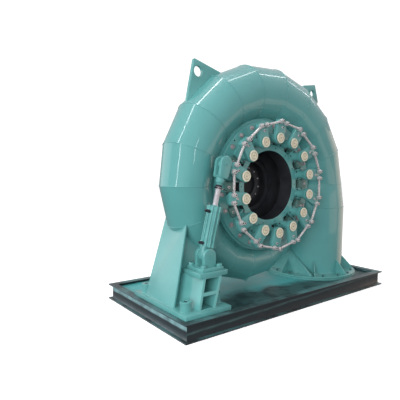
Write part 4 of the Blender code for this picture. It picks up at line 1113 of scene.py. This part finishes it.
def makeBase():
    flange, thick, height = base["flange"], base["thick"], base["height"]
    half, web, top = flange / 2, base["web"] / 2, height - thick
    outline = ((0.0, 0.0), (flange, 0.0), (flange, thick), (half + web, thick), (half + web, top),
               (flange, top), (flange, height), (0.0, height), (0.0, top), (half - web, top),
               (half - web, thick), (0.0, thick))
    wide, deep = base["length"] / 2, base["depth"] / 2
    rings = [[(i * (wide - inward), j * (deep - inward), z) for inward, z in outline] for i, j in fourCorners]
    mesh = easedMesh(skinRings(rings, joined=True), base["ease"], angle=50)
    showPiece("baseFrame", "base_frame", mesh, (frameDark,))
    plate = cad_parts["deck_plate"].data
    plate.materials.clear()
    plate.materials.append(tealDeck)
    spot = (base["drainX"], midY)
    plug = turnedMesh(((0.030, 0.235), (0.030, 0.182), (0.026, 0.178)), 24, "Z", spot)
    nut = turnedMesh(((0.019, 0.180), (0.019, 0.164), (0.016, 0.161)), 6, "Z", spot)
    showPiece("drainPlug", "", [plug, nut], (tealPaint,))


makeCasing()
makeInletPipe()
makeInletFlange()
makeLugs()
print("casing made")
makeStayRing()
makeBoreRing()
makeFrontCover()
makeRearCover()
print("covers made")
makeGear()
print("guide vane gear made")
makeServoCylinder()
makeServoRod()
makeServoClevis()
print("servo made")
makeSupportFoot()
makeFootPlate()
makeServoBracket()
makeBase()
print("foot and base made")


# studio

shot = dict(place=(-3.235, -3.220, 1.384), yaw=0.647587, pitch=-0.074951, roll=0.008378, lens=35.9025)
studio = dict(
    floor=(0.86, 0.86, 0.86), floorGlow=0.50, floorReach=60.0, backdrop=1.2, skyHigh=(0.34, 0.35, 0.36),
    skyLow=(0.10, 0.105, 0.11), skyLight=1.8,
    # name, place, aim, width and height, power, colour, whether the enamel mirrors it
    lights=(
        ("leftGate", (-6.2, -3.8, 1.7), (-0.4, -0.1, 1.0), (4.6, 3.2), 330.0, (1.0, 1.0, 1.0), False),
        ("farGate", (-7.2, 8.2, 3.2), (-1.2, 0.0, 1.0), (11.0, 6.4), 200.0, (1.0, 1.0, 1.0), True),
        ("farLow", (-4.5, 3.7, 1.1), (0.5, 0.1, 0.4), (1.1, 0.8), 42.0, (1.0, 1.0, 1.0), False),
        ("roofRowLeft", (-4.2, 0.0, 5.5), (-3.6, 0.0, 0.0), (0.25, 9.5), 105.0, (1.0, 1.0, 1.0), True),
        ("roofRowRight", (2.9, -0.6, 5.6), (1.6, -0.6, 0.0), (0.22, 8.0), 34.0, (1.0, 1.0, 1.0), True),
        ("leftWindow", (-8.8, -2.3, 2.6), (-1.2, -0.2, 1.4), (0.30, 1.7), 26.0, (1.0, 1.0, 1.0), True),
        ("backWindow", (-2.5, -8.2, 3.2), (-1.0, -0.3, 1.6), (0.16, 2.4), 14.0, (1.0, 1.0, 1.0), True),
        ("warmWall", (4.8, -0.9, 1.1), (0.9, -0.3, 1.0), (3.0, 3.4), 24.0, (1.0, 0.74, 0.56), True),
        ("warmFloor", (3.0, -3.6, 0.9), (0.0, -0.3, 1.0), (2.6, 1.2), 7.0, (1.0, 0.76, 0.60), True),
    ))


def makeCamera():
    yaw, pitch, roll = shot["yaw"], shot["pitch"], shot["roll"]
    ahead = Vector((math.sin(yaw) * math.cos(pitch), math.cos(yaw) * math.cos(pitch), math.sin(pitch)))
    right = Vector((math.cos(yaw), -math.sin(yaw), 0.0))
    up = right.cross(ahead)
    right, up = (math.cos(roll) * right + math.sin(roll) * up, math.cos(roll) * up - math.sin(roll) * right)
    camera = bpy.data.cameras.new("photoCamera")
    camera.lens, camera.sensor_width, camera.sensor_fit = shot["lens"], 36.0, "HORIZONTAL"
    camera.clip_end = 200.0
    turn = Matrix((right, up, -ahead)).transposed().to_4x4()
    bpy.context.scene.camera = looseObject("photoCamera", camera, Matrix.Translation(shot["place"]) @ turn)


def makeFloor():
    corners = [(i * studio["floorReach"], j * studio["floorReach"], 0) for i, j in fourCorners]
    floor = looseObject("studioFloor", meshFrom(corners, [(0, 1, 2, 3)]))
    paper = bpy.data.materials.new("studio floor")
    paper.use_nodes = True
    inputs = paper.node_tree.nodes["Principled BSDF"].inputs
    for socket, value in (("Base Color", (*studio["floor"], 1.0)), ("Emission Color", (1.0, 1.0, 1.0, 1.0)),
                          ("Emission Strength", studio["floorGlow"]), ("Roughness", 0.9),
                          ("Specular IOR Level", 0.0)):
        inputs[socket].default_value = value
    floor.data.materials.append(paper)
    # the enamel mirrors the dim hall instead of the pale paper
    floor.visible_glossy = floor.visible_diffuse = False


def makeStudio():
    for name, spot, aim, size, power, colour, mirrored in studio["lights"]:
        lamp = bpy.data.lights.new(name, "AREA")
        lamp.shape, lamp.size, lamp.size_y = "RECTANGLE", size[0], size[1]
        lamp.energy, lamp.color = power, colour
        holder = looseObject(name, lamp)
        holder.location, holder.visible_glossy = spot, mirrored
        holder.rotation_euler = (Vector(aim) - Vector(spot)).to_track_quat("-Z", "Y").to_euler()
    world = bpy.data.worlds.new("studio")
    bpy.context.scene.world = world
    world.use_nodes = True
    tree = world.node_tree
    hall = tree.nodes["Background"]
    up = rangeNode(tree, partOf(tree, addNode(tree, "TexCoord", {}, "Generated"), "Z"), -0.25, 0.45)
    sky = rampNode(tree, up, ((0.0, studio["skyLow"]), (1.0, studio["skyHigh"])))
    tree.links.new(sky, hall.inputs["Color"])
    hall.inputs["Strength"].default_value = studio["skyLight"]
    white = {"Color": (1.0, 1.0, 1.0, 1.0), "Strength": studio["backdrop"]}
    ways = {0: addNode(tree, "LightPath", {}, "Is Camera Ray"), 1: hall.outputs["Background"],
            2: addNode(tree, "Background", white)}
    tree.links.new(addNode(tree, "MixShader", ways), tree.nodes["World Output"].inputs["Surface"])
    bpy.context.scene.view_settings.view_transform = "Standard"


makeCamera()
makeFloor()
makeStudio()
print("studio made")
